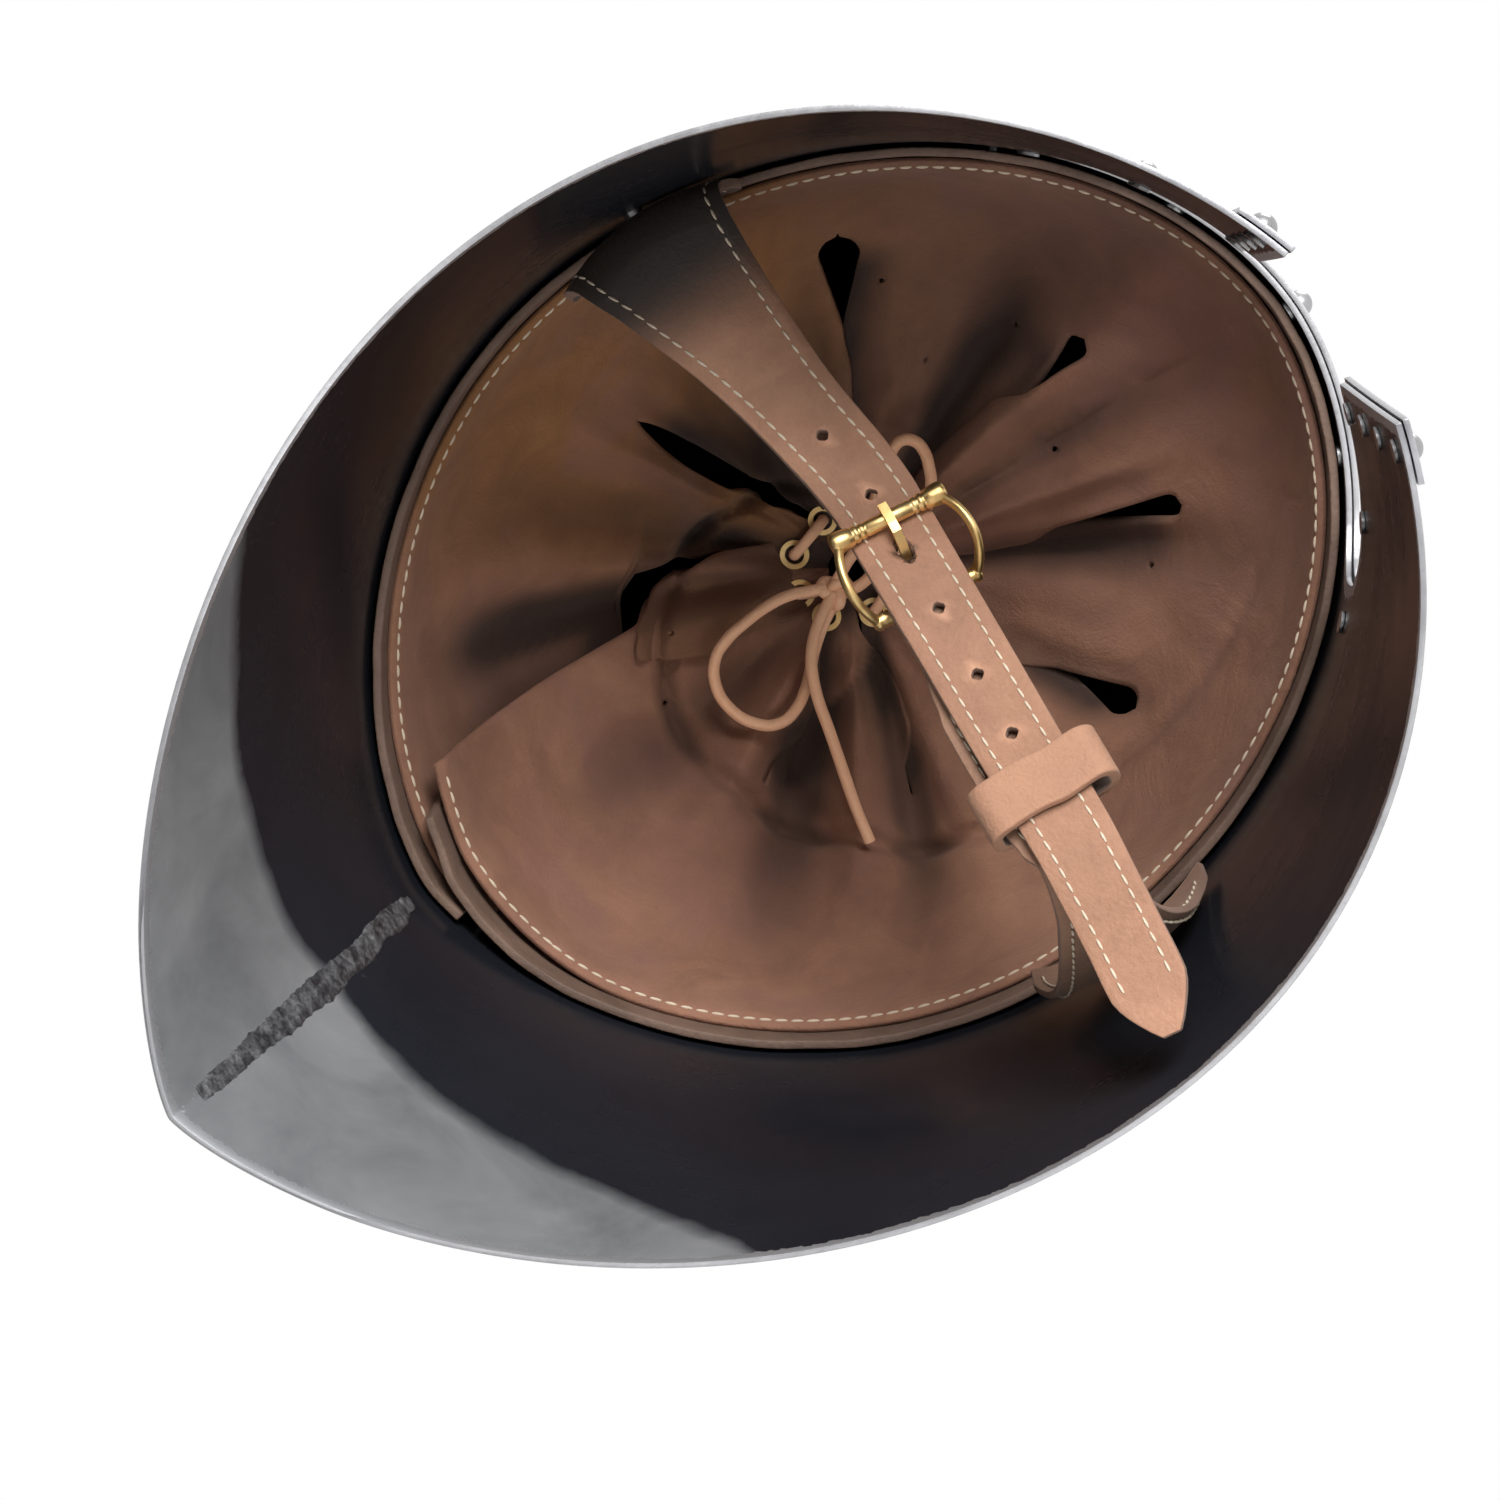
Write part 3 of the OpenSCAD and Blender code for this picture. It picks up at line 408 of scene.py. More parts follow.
def black_paint():
    """Black paint, chipped along the plate's edges, with a painted grey reflection over the rear flare."""
    f = Finish("black_paint", Specular_IOR_Level=0.13)
    cloud = f.noise(14, 5, 0.6)
    fine = f.noise(260, 4, 0.6)
    brushed = f.noise(30, 5, 0.6, f.stretch(1, 1, 5))
    ragged = f.total((f.noise(420, 5, 0.7), 3.4), (f.noise(55, 3, 0.6), 2.6))
    bare = f.math("LESS_THAN", f.attribute("edge"), f.math("SUBTRACT", ragged, 0.75))
    flecks = f.math("GREATER_THAN", f.noise(170, 5, 0.75), 0.735)
    near = f.math("LESS_THAN", f.attribute("edge"), 9.0)
    steel = f.math("MAXIMUM", bare, f.math("MULTIPLY", flecks, near))
    black = f.ramp(cloud, (0.3, (0.0080, 0.0092, 0.0125)), (0.75, (0.0140, 0.0155, 0.0205)))
    # Painted reflection: grey mixed into the base colour over the rear flare stands in for a lamp's
    # reflection, with a wavy edge.
    sheen_grey = f.ramp(f.noise(26, 6, 0.62, distortion=0.5),
                    (0.25, (0.092, 0.096, 0.101)), (0.75, (0.205, 0.209, 0.214)))
    wavy = f.math("MULTIPLY", f.math("SUBTRACT", f.noise(38, 5, 0.6), 0.5), 0.55)
    painted_sheen = f.ramp(f.math("ADD", f.attribute("painted_sheen"), wavy), (0.3, 0.0), (0.7, 1.0))
    streak = f.math("GREATER_THAN", f.noise(500, 4, 0.7), 0.66)
    coat = f.blend(painted_sheen, black, sheen_grey)
    coat = f.blend(f.math("MULTIPLY", streak, f.attribute("weld")), coat, (0.30, 0.31, 0.32))
    f.to("Base Color", f.blend(steel, coat, (0.50, 0.51, 0.53)))
    f.to("Metallic", f.math("MULTIPLY", steel, 0.85))
    gloss = f.ramp(f.total((brushed, 0.25), (cloud, 0.75)), (0.35, 0.18), (0.7, 0.36))
    gloss = f.blend(painted_sheen, gloss, (0.42, 0.42, 0.42))
    f.to("Roughness", f.blend(steel, gloss, (0.45, 0.45, 0.45)))
    f.bump(f.total((fine, 0.3), (brushed, 0.08), (steel, -0.6)), 0.16, 0.0004)
    return f.material


def scuffed_weld():
    """Paint over a rough weld, scuffed to grey on its high spots."""
    f = Finish("scuffed_weld", Specular_IOR_Level=0.4)
    lumps = f.noise(260, 6, 0.75)
    grey = f.ramp(f.noise(520, 5, 0.75), (0.3, (0.055, 0.056, 0.06)), (0.7, (0.19, 0.193, 0.20)))
    f.to("Base Color", f.blend(f.ramp(lumps, (0.38, 0.0), (0.7, 1.0)), (0.016, 0.016, 0.018), grey))
    f.to("Roughness", f.ramp(lumps, (0.3, 0.3), (0.7, 0.6)))
    f.bump(lumps, 0.22, 0.0006)
    return f.material


def leather(name, dark, light, rough_level=0.75, grain=900.0, sheen=0.15, dark_tone=None):
    """Mottled leather; a strap's is scuffed light round its holes and darkened where its shade attribute
    says so.
    """
    f = Finish(name, Sheen_Weight=sheen, Sheen_Roughness=0.5, Sheen_Tint=(1.0, 0.75, 0.6, 1))
    mottle = f.noise(45, 6, 0.65, distortion=0.4)
    pores = f.noise(grain, 4, 0.6)
    creases = f.noise(150, 5, 0.7, f.stretch(1, 1, 0.6), 0.8)
    tone = f.total((mottle, 0.55), (f.noise(16, 3, 0.5), 0.45))
    color = f.ramp(tone, (0.32, dark), (0.68, light))
    color = f.blend(f.math("MULTIPLY", pores, 0.35), color, scaled(dark, 0.6))
    if dark_tone:
        color = f.blend(f.math("MULTIPLY", f.attribute("rub"), 0.6), color, scaled(light, 1.35))
        color = f.blend(f.attribute("shade"), color, dark_tone)
    f.to("Base Color", color)
    f.to("Roughness", f.ramp(mottle, (0.3, rough_level * 0.9), (0.8, min(1, rough_level * 1.1))))
    f.bump(f.total((pores, 0.5), (mottle, 0.6), (creases, 0.9)), 0.5, 0.0011)
    return f.material


def liner_suede():
    """Reddish brown suede: brushed nap in soft patches, painted light that turns one side a warmer olive,
    and painted shade in the folds and at the front.
    """
    f = Finish("liner_suede", Sheen_Weight=0.12, Sheen_Roughness=0.5, Sheen_Tint=(1.0, 0.62, 0.45, 1))
    nap = f.noise(1500, 4, 0.65)
    brushed = f.noise(60, 5, 0.65, distortion=1.2)
    tone = f.total((brushed, 0.4), (f.noise(15, 4, 0.6, distortion=0.8), 0.6))
    stops = 0.32, 0.5, 0.68
    plain = (0.190, 0.088, 0.055), (0.285, 0.138, 0.085), (0.385, 0.200, 0.125)
    olive = (0.165, 0.074, 0.026), (0.265, 0.119, 0.042), (0.375, 0.178, 0.068)
    # Painted light: the warm attribute tints one side towards the olive ramp.
    color = f.blend(f.attribute("warm"), f.ramp(tone, *zip(stops, plain)), f.ramp(tone, *zip(stops, olive)))
    mauve = f.ramp(f.noise(24, 4, 0.6, distortion=0.6), (0.47, 0.0), (0.64, 0.45))
    color = f.blend(mauve, color, (0.255, 0.125, 0.105))
    color = f.blend(f.math("MULTIPLY", nap, 0.3), color, (0.06, 0.026, 0.015))
    # Painted shade: the shade and dim attributes darken the colour nearly to black in folds, under
    # overlapping edges and at the front.
    dark = f.math("ADD", f.attribute("shade"), f.math("MULTIPLY", f.attribute("dim"), 0.6))
    f.to("Base Color", f.blend(f.math("MINIMUM", dark, 0.96), color, (0.020, 0.011, 0.009)))
    f.to("Roughness", f.ramp(brushed, (0.3, 0.82), (0.7, 0.98)))
    f.bump(f.total((nap, 0.3), (brushed, 1.0)), 0.6, 0.0016)
    return f.material


def brass():
    f = Finish("polished_brass", Metallic=1.0)
    cloud = f.noise(120, 4, 0.6)
    f.to("Base Color", f.ramp(cloud, (0.3, (0.84, 0.55, 0.20)), (0.7, (0.96, 0.71, 0.34))))
    f.to("Roughness", f.ramp(cloud, (0.3, 0.26), (0.8, 0.44)))
    f.bump(f.noise(700, 3, 0.6), 0.1, 0.0003)
    return f.material


outer_steel = brushed_steel("bright_steel", (0.46, 0.465, 0.48), 0.3)
edge_steel = brushed_steel("filed_edge", (0.42, 0.42, 0.435), 0.42)
rivet_steel = brushed_steel("rivet_steel", (0.5, 0.5, 0.51), 0.28)
weld_steel = scuffed_weld()
paint = black_paint()
billet_grain = leather("long_strap_leather", (0.205, 0.094, 0.050), (0.42, 0.225, 0.142),
                       dark_tone=(0.012, 0.009, 0.008))
chape_grain = leather("short_strap_leather", (0.20, 0.105, 0.065), (0.34, 0.19, 0.12),
                      dark_tone=(0.03, 0.019, 0.014))
cut_leather = leather("strap_cut_edge", (0.15, 0.085, 0.062), (0.24, 0.145, 0.108), 0.85, 1500)
keeper_grain = leather("keeper_leather", (0.31, 0.155, 0.092), (0.44, 0.24, 0.15), 0.8, 1300)
keeper_back = leather("keeper_flesh_side", (0.13, 0.088, 0.072), (0.22, 0.155, 0.125), 0.95, 1600, 0.2)
band_grain = leather("dark_band_leather", (0.080, 0.048, 0.033), (0.23, 0.142, 0.104), 0.7, sheen=0.02)
suede = liner_suede()
lace_suede = leather("lace_suede", (0.86, 0.45, 0.25), (0.98, 0.62, 0.40), 0.9, 1600, 0.15)
thread = leather("waxed_thread", (0.50, 0.41, 0.30), (0.74, 0.64, 0.50), 0.7, 2500, 0.05)
gold = brass()


# The lace: its free stretches are cords, and come first
knot_at = Vector((0.5, 3.3, 192.5))
long_loop = [(-1.4, 4.8, 191.2), (-3.2, 8.4, 189.2), (-5, 12.4, 187.2), (-5.8, 18, 186), (-5.5, 24, 185.5),
             (-4.6, 30, 185), (-2.2, 35, 185), (2.5, 38.2, 185), (9, 38.8, 185.5), (15.5, 36, 186),
             (19, 31, 187), (18.3, 26, 188), (15.5, 21.5, 189), (12.5, 18.2, 190), (9, 14.5, 191),
             (6, 10.5, 192), (3.9, 7.2, 192.8), (2.5, 4.4, 193.2)]
short_loop = [(-1.2, 1.6, 191.6), (-3.6, -3, 188.8), (-6.2, -9, 187), (-10, -14.2, 186), (-14, -19, 185.5),
              (-18, -24.2, 185), (-20.2, -27.6, 185), (-20.6, -30.4, 185), (-18.9, -32.6, 185.1),
              (-16, -33.2, 185.3), (-12, -32.1, 185.6), (-8, -30, 186), (-3.6, -25.4, 187),
              (-1.2, -20, 188), (0.4, -14.5, 189), (1.6, -8, 190), (2.6, -3, 191.6), (2.2, 2, 193)]
tail_line = [(0.8, 4, 191), (3, 8.2, 187.5), (6.4, 12.8, 184.5), (10.5, 16.2, 183), (15.4, 18.6, 182.5),
             (20, 20.2, 182.5), (25.5, 21.6, 183), (32, 23.4, 183.5), (39, 25.4, 184), (46.5, 27.4, 184.5),
             (54, 29, 185)]


def lace_curve(name, points, replaces):
    """A round suede lace along points, a little uneven in thickness."""
    data = bpy.data.curves.new(name, "CURVE")
    data.dimensions = "3D"
    data.resolution_u = 5
    data.bevel_depth = LACE_D / 2 * MM
    data.bevel_resolution = 3
    data.use_fill_caps = True
    spline = data.splines.new("BEZIER")
    spline.bezier_points.add(len(points) - 1)
    for i, (knot, p) in enumerate(zip(spline.bezier_points, points)):
        knot.co = put(p)
        knot.handle_left_type = knot.handle_right_type = "AUTO"
        knot.radius = 0.94 + 0.06 * rough(i * 1.7, points[0][0])
    data.materials.append(lace_suede)
    piece = show(name, data)
    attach(piece, "helmet")
    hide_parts(replaces)
    return piece


def free_lace(name, points):
    piece = lace_curve(name, points, name)
    length = sum((put(b) - put(a)).length for a, b in zip(points, points[1:]))
    put(points[0])


free_lace("lace_long_loop", long_loop)
free_lace("lace_short_loop", short_loop)
free_lace("lace_tail", tail_line)


def opening_outline(grow, corner, foot=40, steps=7):
    """Outline of the face opening, as width and height, grown by a margin: from below the rim on one side
    to below the rim on the other."""
    slope = (SLOT_FOOT - SLOT_HEAD) / EYE_LOW
    low, top, far, r = EYE_LOW - grow, EYE_TOP + grow, EYE_HALF + grow, EYE_ROUND + grow
    half = [(SLOT_FOOT + slope * foot + grow, -foot),
            (SLOT_HEAD + slope * (grow + corner) + grow, low - corner)]
    if corner:
        half += [(SLOT_HEAD + grow + corner * (1 - math.cos(t)), low - corner * (1 - math.sin(t)))
                 for t in (math.pi / 2 * i / steps for i in range(1, steps + 1))]
    for cz, start in ((low + r, -90), (top - r, 0)):
        turns = [math.radians(start + 90 * i / steps) for i in range(steps + 1)]
        half += [(far - r + r * math.cos(t), cz + r * math.sin(t)) for t in turns]
    return half + [(-x, z) for x, z in reversed(half)]


def within(outline, x, z):
    inside = False
    for (x1, z1), (x2, z2) in zip(outline, outline[1:] + outline[:1]):
        if (z1 > z) != (z2 > z) and x < (x2 - x1) * (z - z1) / (z2 - z1) + x1:
            inside = not inside
    return inside


def outline_distance(outline, x, z):
    best = 99.0
    for (x1, z1), (x2, z2) in zip(outline, outline[1:]):
        dx, dz = x2 - x1, z2 - z1
        t = clamp(((x - x1) * dx + (z - z1) * dz) / (dx * dx + dz * dz + 1e-9), 0, 1)
        best = min(best, math.hypot(x - x1 - t * dx, z - z1 - t * dz))
    return best


def cut_along(bm, outline, reach):
    """Cuts the front of a mesh along an outline, with a plane for each of its stretches."""
    for (x1, z1), (x2, z2) in zip(outline, outline[1:]):
        lo = Vector((min(x1, x2) - reach, min(z1, z2) - reach)) * MM
        hi = Vector((max(x1, x2) + reach, max(z1, z2) + reach)) * MM
        faces = [f for f in bm.faces if f.calc_center_median().y < -0.05
                 and any(lo.x <= v.co.x <= hi.x and lo.y <= v.co.z <= hi.y for v in f.verts)]
        geom = faces + list({e for f in faces for e in f.edges}) + list({v for f in faces for v in f.verts})
        bmesh.ops.bisect_plane(bm, geom=geom, plane_co=(x1 * MM, 0, z1 * MM),
                               plane_no=(z2 - z1, 0, x1 - x2), dist=2e-6)


def remove_faces(bm, test):
    gone = []
    for f in bm.faces:
        c = f.calc_center_median() / MM
        if test(c.x, c.y - AXIS_Y, c.z):
            gone.append(f)
    bmesh.ops.delete(bm, geom=gone, context="FACES")


# Skull: bright outside, black paint inside, with its rim and the opening's edge left raw
BROW_ROW = 0.55


def skull_row(a, v):
    """Height of the skull at a share v of its rows, which are even below the brow and close at the top."""
    if v <= BROW_ROW:
        return mix(rim_z(a), BROW_Z, v / BROW_ROW)
    return BROW_Z + (HEIGHT - BROW_Z) * math.sin(math.pi / 2 * (v - BROW_ROW) / 0.45) ** (2 / 2.4)


def make_skull():
    bm = bmesh.new()

    def place(u, v):
        z = skull_row(360 * u, v)
        if v > 0.999:
            return Vector((0, 0, HEIGHT))
        p = wall(360 * u, z)
        return Vector((p.x, p.y, z))
    sheet_grid(bm, 220, 92, place, joined=True)
    hole = opening_outline(0, CHEEK_ROUND)
    cut_along(bm, hole, 5)
    remove_faces(bm, lambda x, y, z: y < -40 and z < EYE_TOP + 1 and within(hole, x, z))
    edge, painted_sheen, weld = float_layers(bm, "edge", "painted_sheen", "weld")
    for v in bm.verts:
        x, y, z = v.co.x / MM, v.co.y / MM - AXIS_Y, v.co.z / MM
        reach = max(1.0, face_reach(z) if y < 0 else nape_reach(z))
        a = 90 + math.degrees(math.asin(clamp(y / reach, -1, 1)))
        low = z - rim_z(a)
        near = outline_distance(hole, x, z) if y < -60 and z < 150 else 99
        v[edge] = clamp(min(low, near), 0, 30)
        # Painted reflection: the grey sheen painted over the rear flare reaches highest at the nape and
        # fades towards the sides, a little weaker on one side.
        sheen_reach = 66 * max(0.0, 1 - (180 - a) / 62) ** (0.6 if x < 0 else 0.5)
        v[painted_sheen] = clamp(0.5 + (sheen_reach - z) / 14, 0, 1) * (1.0 if x < 0 else 0.94)
        v[weld] = clamp(1 - abs(x) / 5, 0, 1) * clamp((100 - z) / 30, 0, 1) if y > 60 else 0
    piece = finish_mesh(bm, "skull", "helmet", [outer_steel, paint, edge_steel],
                        ["skull_shell"])
    thicken(piece, PLATE_T, -1, 1, 2)
    soften(piece, 0.25, 2, 50)


WELD_FOOT, WELD_HEAD = 9, 118


def make_crease_weld():
    """The rough weld that joins the plate down the inside of the nape's crease."""
    bm = bmesh.new()

    def path(v):
        z = mix(WELD_FOOT, WELD_HEAD, v)
        middle = wall(180, z, -PLATE_T - 0.1)
        middle.x += 1.3 * rough(v * 7, 3) + 0.5 * rough(v * 40, 5)
        return middle, Vector((1, 0, 0)), Vector((0, 0.9, 0.45)).normalized()

    def radius(v):
        ends = math.sin(math.pi * clamp(v, 0.02, 0.98)) ** 0.3
        return (3.7 + 1.3 * rough(v * 9, 1.5) + 0.5 * rough(v * 37, 2.5)) * ends
    made = tube(bm, path, radius, 18, 160, 0.2)
    for v in made:
        lump = 0.25 * rough(v.co.x * 900, v.co.y * 900, v.co.z * 900)
        v.co += Vector((0.4 * rough(v.co.z * 800, v.co.x * 500), -1, 0)) * lump * MM
    close_ends(bm)
    finish_mesh(bm, "crease_weld", "helmet", weld_steel)


def make_opening_band():
    """The reinforcing band round the face opening, on the outside."""
    bm = bmesh.new()
    half, top = 72, 142

    def place(u, v):
        x = mix(-half, half, u)
        z = mix(rim_z(face_section(x, 0)), top, v)
        p = wall(face_section(x, z), z, BAND_GAP + BAND_T)
        return Vector((p.x, p.y, z))
    sheet_grid(bm, 72, 72, place)
    outer, inner = opening_outline(BAND_W, 0), opening_outline(0, CHEEK_ROUND / 3)
    cut_along(bm, outer, 4)
    cut_along(bm, inner, 4)
    remove_faces(bm, lambda x, y, z: not within(outer, x, z) or within(inner, x, z))
    piece = finish_mesh(bm, "opening_band", "helmet", [outer_steel, outer_steel, edge_steel],
                        ["face_band"])
    thicken(piece, BAND_T, -1, 1, 2)
    soften(piece, 0.3, 2, 50)


# Liner: its two ends overlap behind, and the end at the wearer's left lies inside the other
FREE_END, BURIED_END = 192, 171 - 360
leather_back = PLATE_T + LEATHER_GAP + LEATHER_T
seam_back = leather_back + 0.1
face_back = leather_back + 1.4


def stand_off(a):
    """How far the liner's inner end stands off the wall behind."""
    return 8.0 * ease((a - 150) / (FREE_END - 150))


def make_band_leather():
    bm = bmesh.new()

    def place(u, v):
        a = mix(BURIED_END, FREE_END, u)
        z = LEATHER_Z + v * LEATHER_H - (1 - v) * 0.9 * (1 + rough(a * 0.11, 2))
        off = PLATE_T + LEATHER_GAP + stand_off(a) * 0.82 + 0.2 * rough(a * 0.2, v * 3)
        return wall(a, z, -off)
    sheet_grid(bm, 260, 8, place)
    piece = finish_mesh(bm, "band_leather", "helmet", band_grain, ["leather_band"])
    thicken(piece, LEATHER_T, -1)
    soften(piece, 0.4, 2, 50)


def polar(p):
    return math.degrees(math.atan2(p.x - GATHER.x, -(p.y - GATHER.y))) % 360


@lru_cache(maxsize=None)
def section_of(angle):
    """The skull's section whose wall lies at an angle round the gather."""
    lo, hi = 0.0, 360.0
    angle %= 360
    for _ in range(22):
        mid = (lo + hi) / 2
        if polar(wall(mid, SUEDE_Z, -face_back - SUEDE_T)) < angle:
            lo = mid
        else:
            hi = mid
    return (lo + hi) / 2


@lru_cache(maxsize=None)
def hem_at(angle, off):
    return wall(section_of(angle), SUEDE_Z + 6, -off)


def hem_reach(angle):
    p = hem_at(round(angle, 2), round(face_back + SUEDE_T, 2))
    return math.hypot(p.x - GATHER.x, p.y - GATHER.y)


# Folds as the angle at the hem and at the gather, widths on both sides, depth, and share where deepest
FOLDS = [(137, 139, 12, 5, 12, 0.5), (111, 106, 7, 5, 10, 0.6), (123, 119, 5, 5, -6, 0.5),
         (171, 168, 9, 14, 5, 0.6), (154, 151, 6, 8, -6, 0.55), (204, 207, 6, 6, 12, 0.7),
         (229, 223, 9, 12, 6, 0.6), (242, 243, 6, 5, -4, 0.5), (268, 270, 8, 9, 6, 0.5),
         (286, 284, 7, 7, -4, 0.5), (296, 296, 6, 5, 4, 0.5), (318, 320, 9, 9, -3, 0.5),
         (335, 337, 8, 5, 8, 0.5), (353, 348, 4, 7, -6, 0.5), (2, 356, 6, 9, 6, 0.6),
         (12, 12, 6, 4, -7, 0.55), (29, 29, 5, 8, 8, 0.5), (46, 45, 8, 8, 4, 0.5),
         (58, 59, 6, 5, 5, 0.5), (72, 72, 8, 9, -4, 0.5), (86, 88, 8, 8, -3, 0.45),
         (97, 99, 5, 5, -4, 0.5)]


def lobe_edge(angle):
    """Where the lobe of suede below the knot ends, as a share of the way out, and how far it stands."""
    angle %= 360
    stands = ease((angle - 94) / 12) * ease((152 - angle) / 8)
    return mix(0.15, 0.375, clamp((angle - 97) / 48, 0, 1)), stands


def fold_depth(angle, g):
    """How far the suede dips away from the head at an angle and a share of the way from the gather."""
    loose = math.sin(math.pi * clamp(g, 0, 1))
    c, s = math.cos(math.radians(angle)), math.sin(math.radians(angle))
    total = loose * (3.0 * rough(4 * c, 4 * s, g * 3) + 1.1 * rough(11 * c, 11 * s, g * 9))
    for at_hem, at_gather, low, high, depth, deepest in FOLDS:
        middle = mix(at_gather, at_hem, g)
        off = (angle - middle + 180) % 360 - 180
        spread = off / (low if off < 0 else high) / mix(1.25, 0.85, g)
        if abs(spread) > 3:
            continue
        share = ease((1 - g) / (1 - deepest)) if g > deepest else 1.0
        total += 1.15 * depth * math.exp(-spread * spread) * share * ease((g - 0.13) / 0.2)
    edge, ledge = lobe_edge(angle)
    return total + 5.5 * ledge * ease((g - edge) / 0.04) * (1 - ease((g - edge - 0.06) / 0.26))


# Cuts between tongues: angle, twist at the gather, radii where they end and close, half width, overlap,
# and which neighbour lies on top: 1 for the one at greater angles
Cut = namedtuple("Cut", "at twist end tip half over top")
CUTS = [Cut(22, 3, 81, 52, 3.1, 3.0, -1), Cut(58.5, 5, 74, 55, 3.5, 2.5, -1),
        Cut(108, 4, 54, 49, 0.25, 4.0, 1), Cut(144.5, 3, 54, 49, 0.25, 4.5, 1),
        Cut(250.5, 57, 60, 12, 2.1, 0.0, -1), Cut(303.5, 2, 79.5, 57, 5.0, 1.5, -1),
        Cut(349.5, -5, 80, 64, 3.0, 4.0, 1)]
# How far a tongue's edge stands off its neighbour, and the share of the way out at which an open edge
# begins to do so
LIFT, OPEN_END = 1.7, 0.66
# The gather's share of the way out, and how the rows close up towards the hem
GATHER_SHARE, ROW_POWER = 0.045, 1.35


def share(t):
    """The share of the way from the gather to the hem, for t from 0 at the hem to 1 at the gather."""
    return 1 - (1 - GATHER_SHARE) * t ** ROW_POWER


def row_of(g):
    """The t that has a share g of the way out."""
    return (max(0.0, 1 - g) / (1 - GATHER_SHARE)) ** (1 / ROW_POWER)


def cut_angle(cut, r):
    inward = max(0.0, cut.end - r) / cut.end
    return cut.at + cut.twist * inward ** (4 if cut.twist > 20 else 2)


def cut_gap(cut, r):
    """Half the width of the opening between two tongues at a radius, below zero where they overlap."""
    if r >= cut.end:
        return 0.0
    if cut.over == 0:
        t = (cut.end - r) / (cut.end - cut.tip)
        return cut.half * math.sin(math.pi * clamp(t, 0, 1) ** 0.75) ** 0.8 + 0.4 * clamp(t * 6, 0, 1)
    round_at = cut.end - cut.half
    if r > round_at:
        t = (r - round_at) / cut.half
        return cut.half * math.sqrt(max(0.0, 1 - t * t))
    if r > cut.tip:
        return cut.half * ((r - cut.tip) / (round_at - cut.tip)) ** 1.1
    return -cut.over * ease((cut.tip - r) / 10) * ease((r - 13) / 20) + 0.4 * ease((20 - r) / 5)


def tongue_edge(cut, g, sign):
    r = g * hem_reach(cut.at)
    return cut_angle(cut, r) + sign * math.degrees(cut_gap(cut, r) / max(r, 7))


def free_edge(g):
    """The open edge of the liner's inner end, which runs into the gap beside its folded tongue."""
    if g > 0.54:
        return mix(199, FREE_END - 1, ((g - 0.54) / 0.46) ** 0.8)
    if g > 0.5:
        return mix(204, 199, (g - 0.5) / 0.04)
    if g > 0.31:
        return mix(219, 204, ((g - 0.31) / 0.19) ** 0.85)
    return mix(212, 219, ease((g - 0.08) / 0.23))


def buried_edge(g):
    """The edge of the liner's outer end, which slips under the inner one."""
    if g > 0.53:
        return mix(196, 171, (g - 0.53) / 0.47)
    if g > 0.31:
        return mix(220, 211, ((g - 0.31) / 0.21) ** 0.9) - 15 * ease((g - 0.5) / 0.03)
    return mix(213, 220, ease((g - 0.08) / 0.23))


def liner_point(angle, t, lift=0.0, inner=0.0, bury=0.0):
    """A point on the suede's face towards the head: t runs from the hem to the gather."""
    g = share(t)
    rise = math.sqrt(max(0.0, 1 - g ** (2 / 0.75)))
    climb = SUEDE_RISE * rise ** 0.9
    off = mix(seam_back, face_back, ease(climb / 8)) + SUEDE_T
    hem = hem_at(round(angle, 3), round(off, 2))
    z = SUEDE_Z - 1.8 * (1 - ease(t * 12)) + climb
    p = Vector((mix(GATHER.x, hem.x, g), mix(GATHER.y, hem.y, g), z))
    dip = fold_depth(angle, g) - lift + bury * ease((1 - g) / 0.25)
    out = Vector((p.x - GATHER.x, p.y - GATHER.y, 0)).normalized()
    p += (out * g * 0.55 + Vector((0, 0, 1)) * (1 - 0.35 * g)) * dip * ease((1 - g) / 0.08)
    p.z -= SUEDE_T * rise
    if inner:
        p -= out * inner * g + Vector((0, 0, 1)) * inner * 0.5 * (1 - g) * ease((g - 0.15) / 0.3)
    return p


SUEDE_LAYERS = "shade", "warm", "dim"


def tint(bm, vert, angle, g, dark=0.0):
    """Painted light and shade on the suede: painted shade in its valleys, near the gather and where dark
    says, an olive tint of painted light on one side, and painted shade at the front and on the inner part
    of that side.
    """
    layer = bm.verts.layers.float
    around = [fold_depth(angle + d, g) for d in (-10, 0, 10)]
    valley = (around[1] - (around[0] + around[2]) / 2) / 9
    shade = 0.05 + 0.6 * clamp(valley, -0.3, 1) + dark + 0.3 * ease((0.2 - g) / 0.1)
    vert[layer["shade"]] = clamp(shade, 0, 0.9)
    off = abs((angle - 262 + 180) % 360 - 180)
    vert[layer["warm"]] = ease((64 - off) / 40)
    front = ease((angle % 360 - 292) / 14) * ease((351 - angle % 360) / 5)
    vert[layer["dim"]] = 0.5 * front + 0.5 * ease((50 - off) / 30) * ease((0.75 - g) / 0.35)


PIN_HOLES = [(-53.7, -47.6), (-33.3, -45), (-26.6, -65.4), (-10.2, -37.6), (1.5, -57.2), (13.2, -31.8),
             (35.7, -59.9), (0.7, 51.7)]


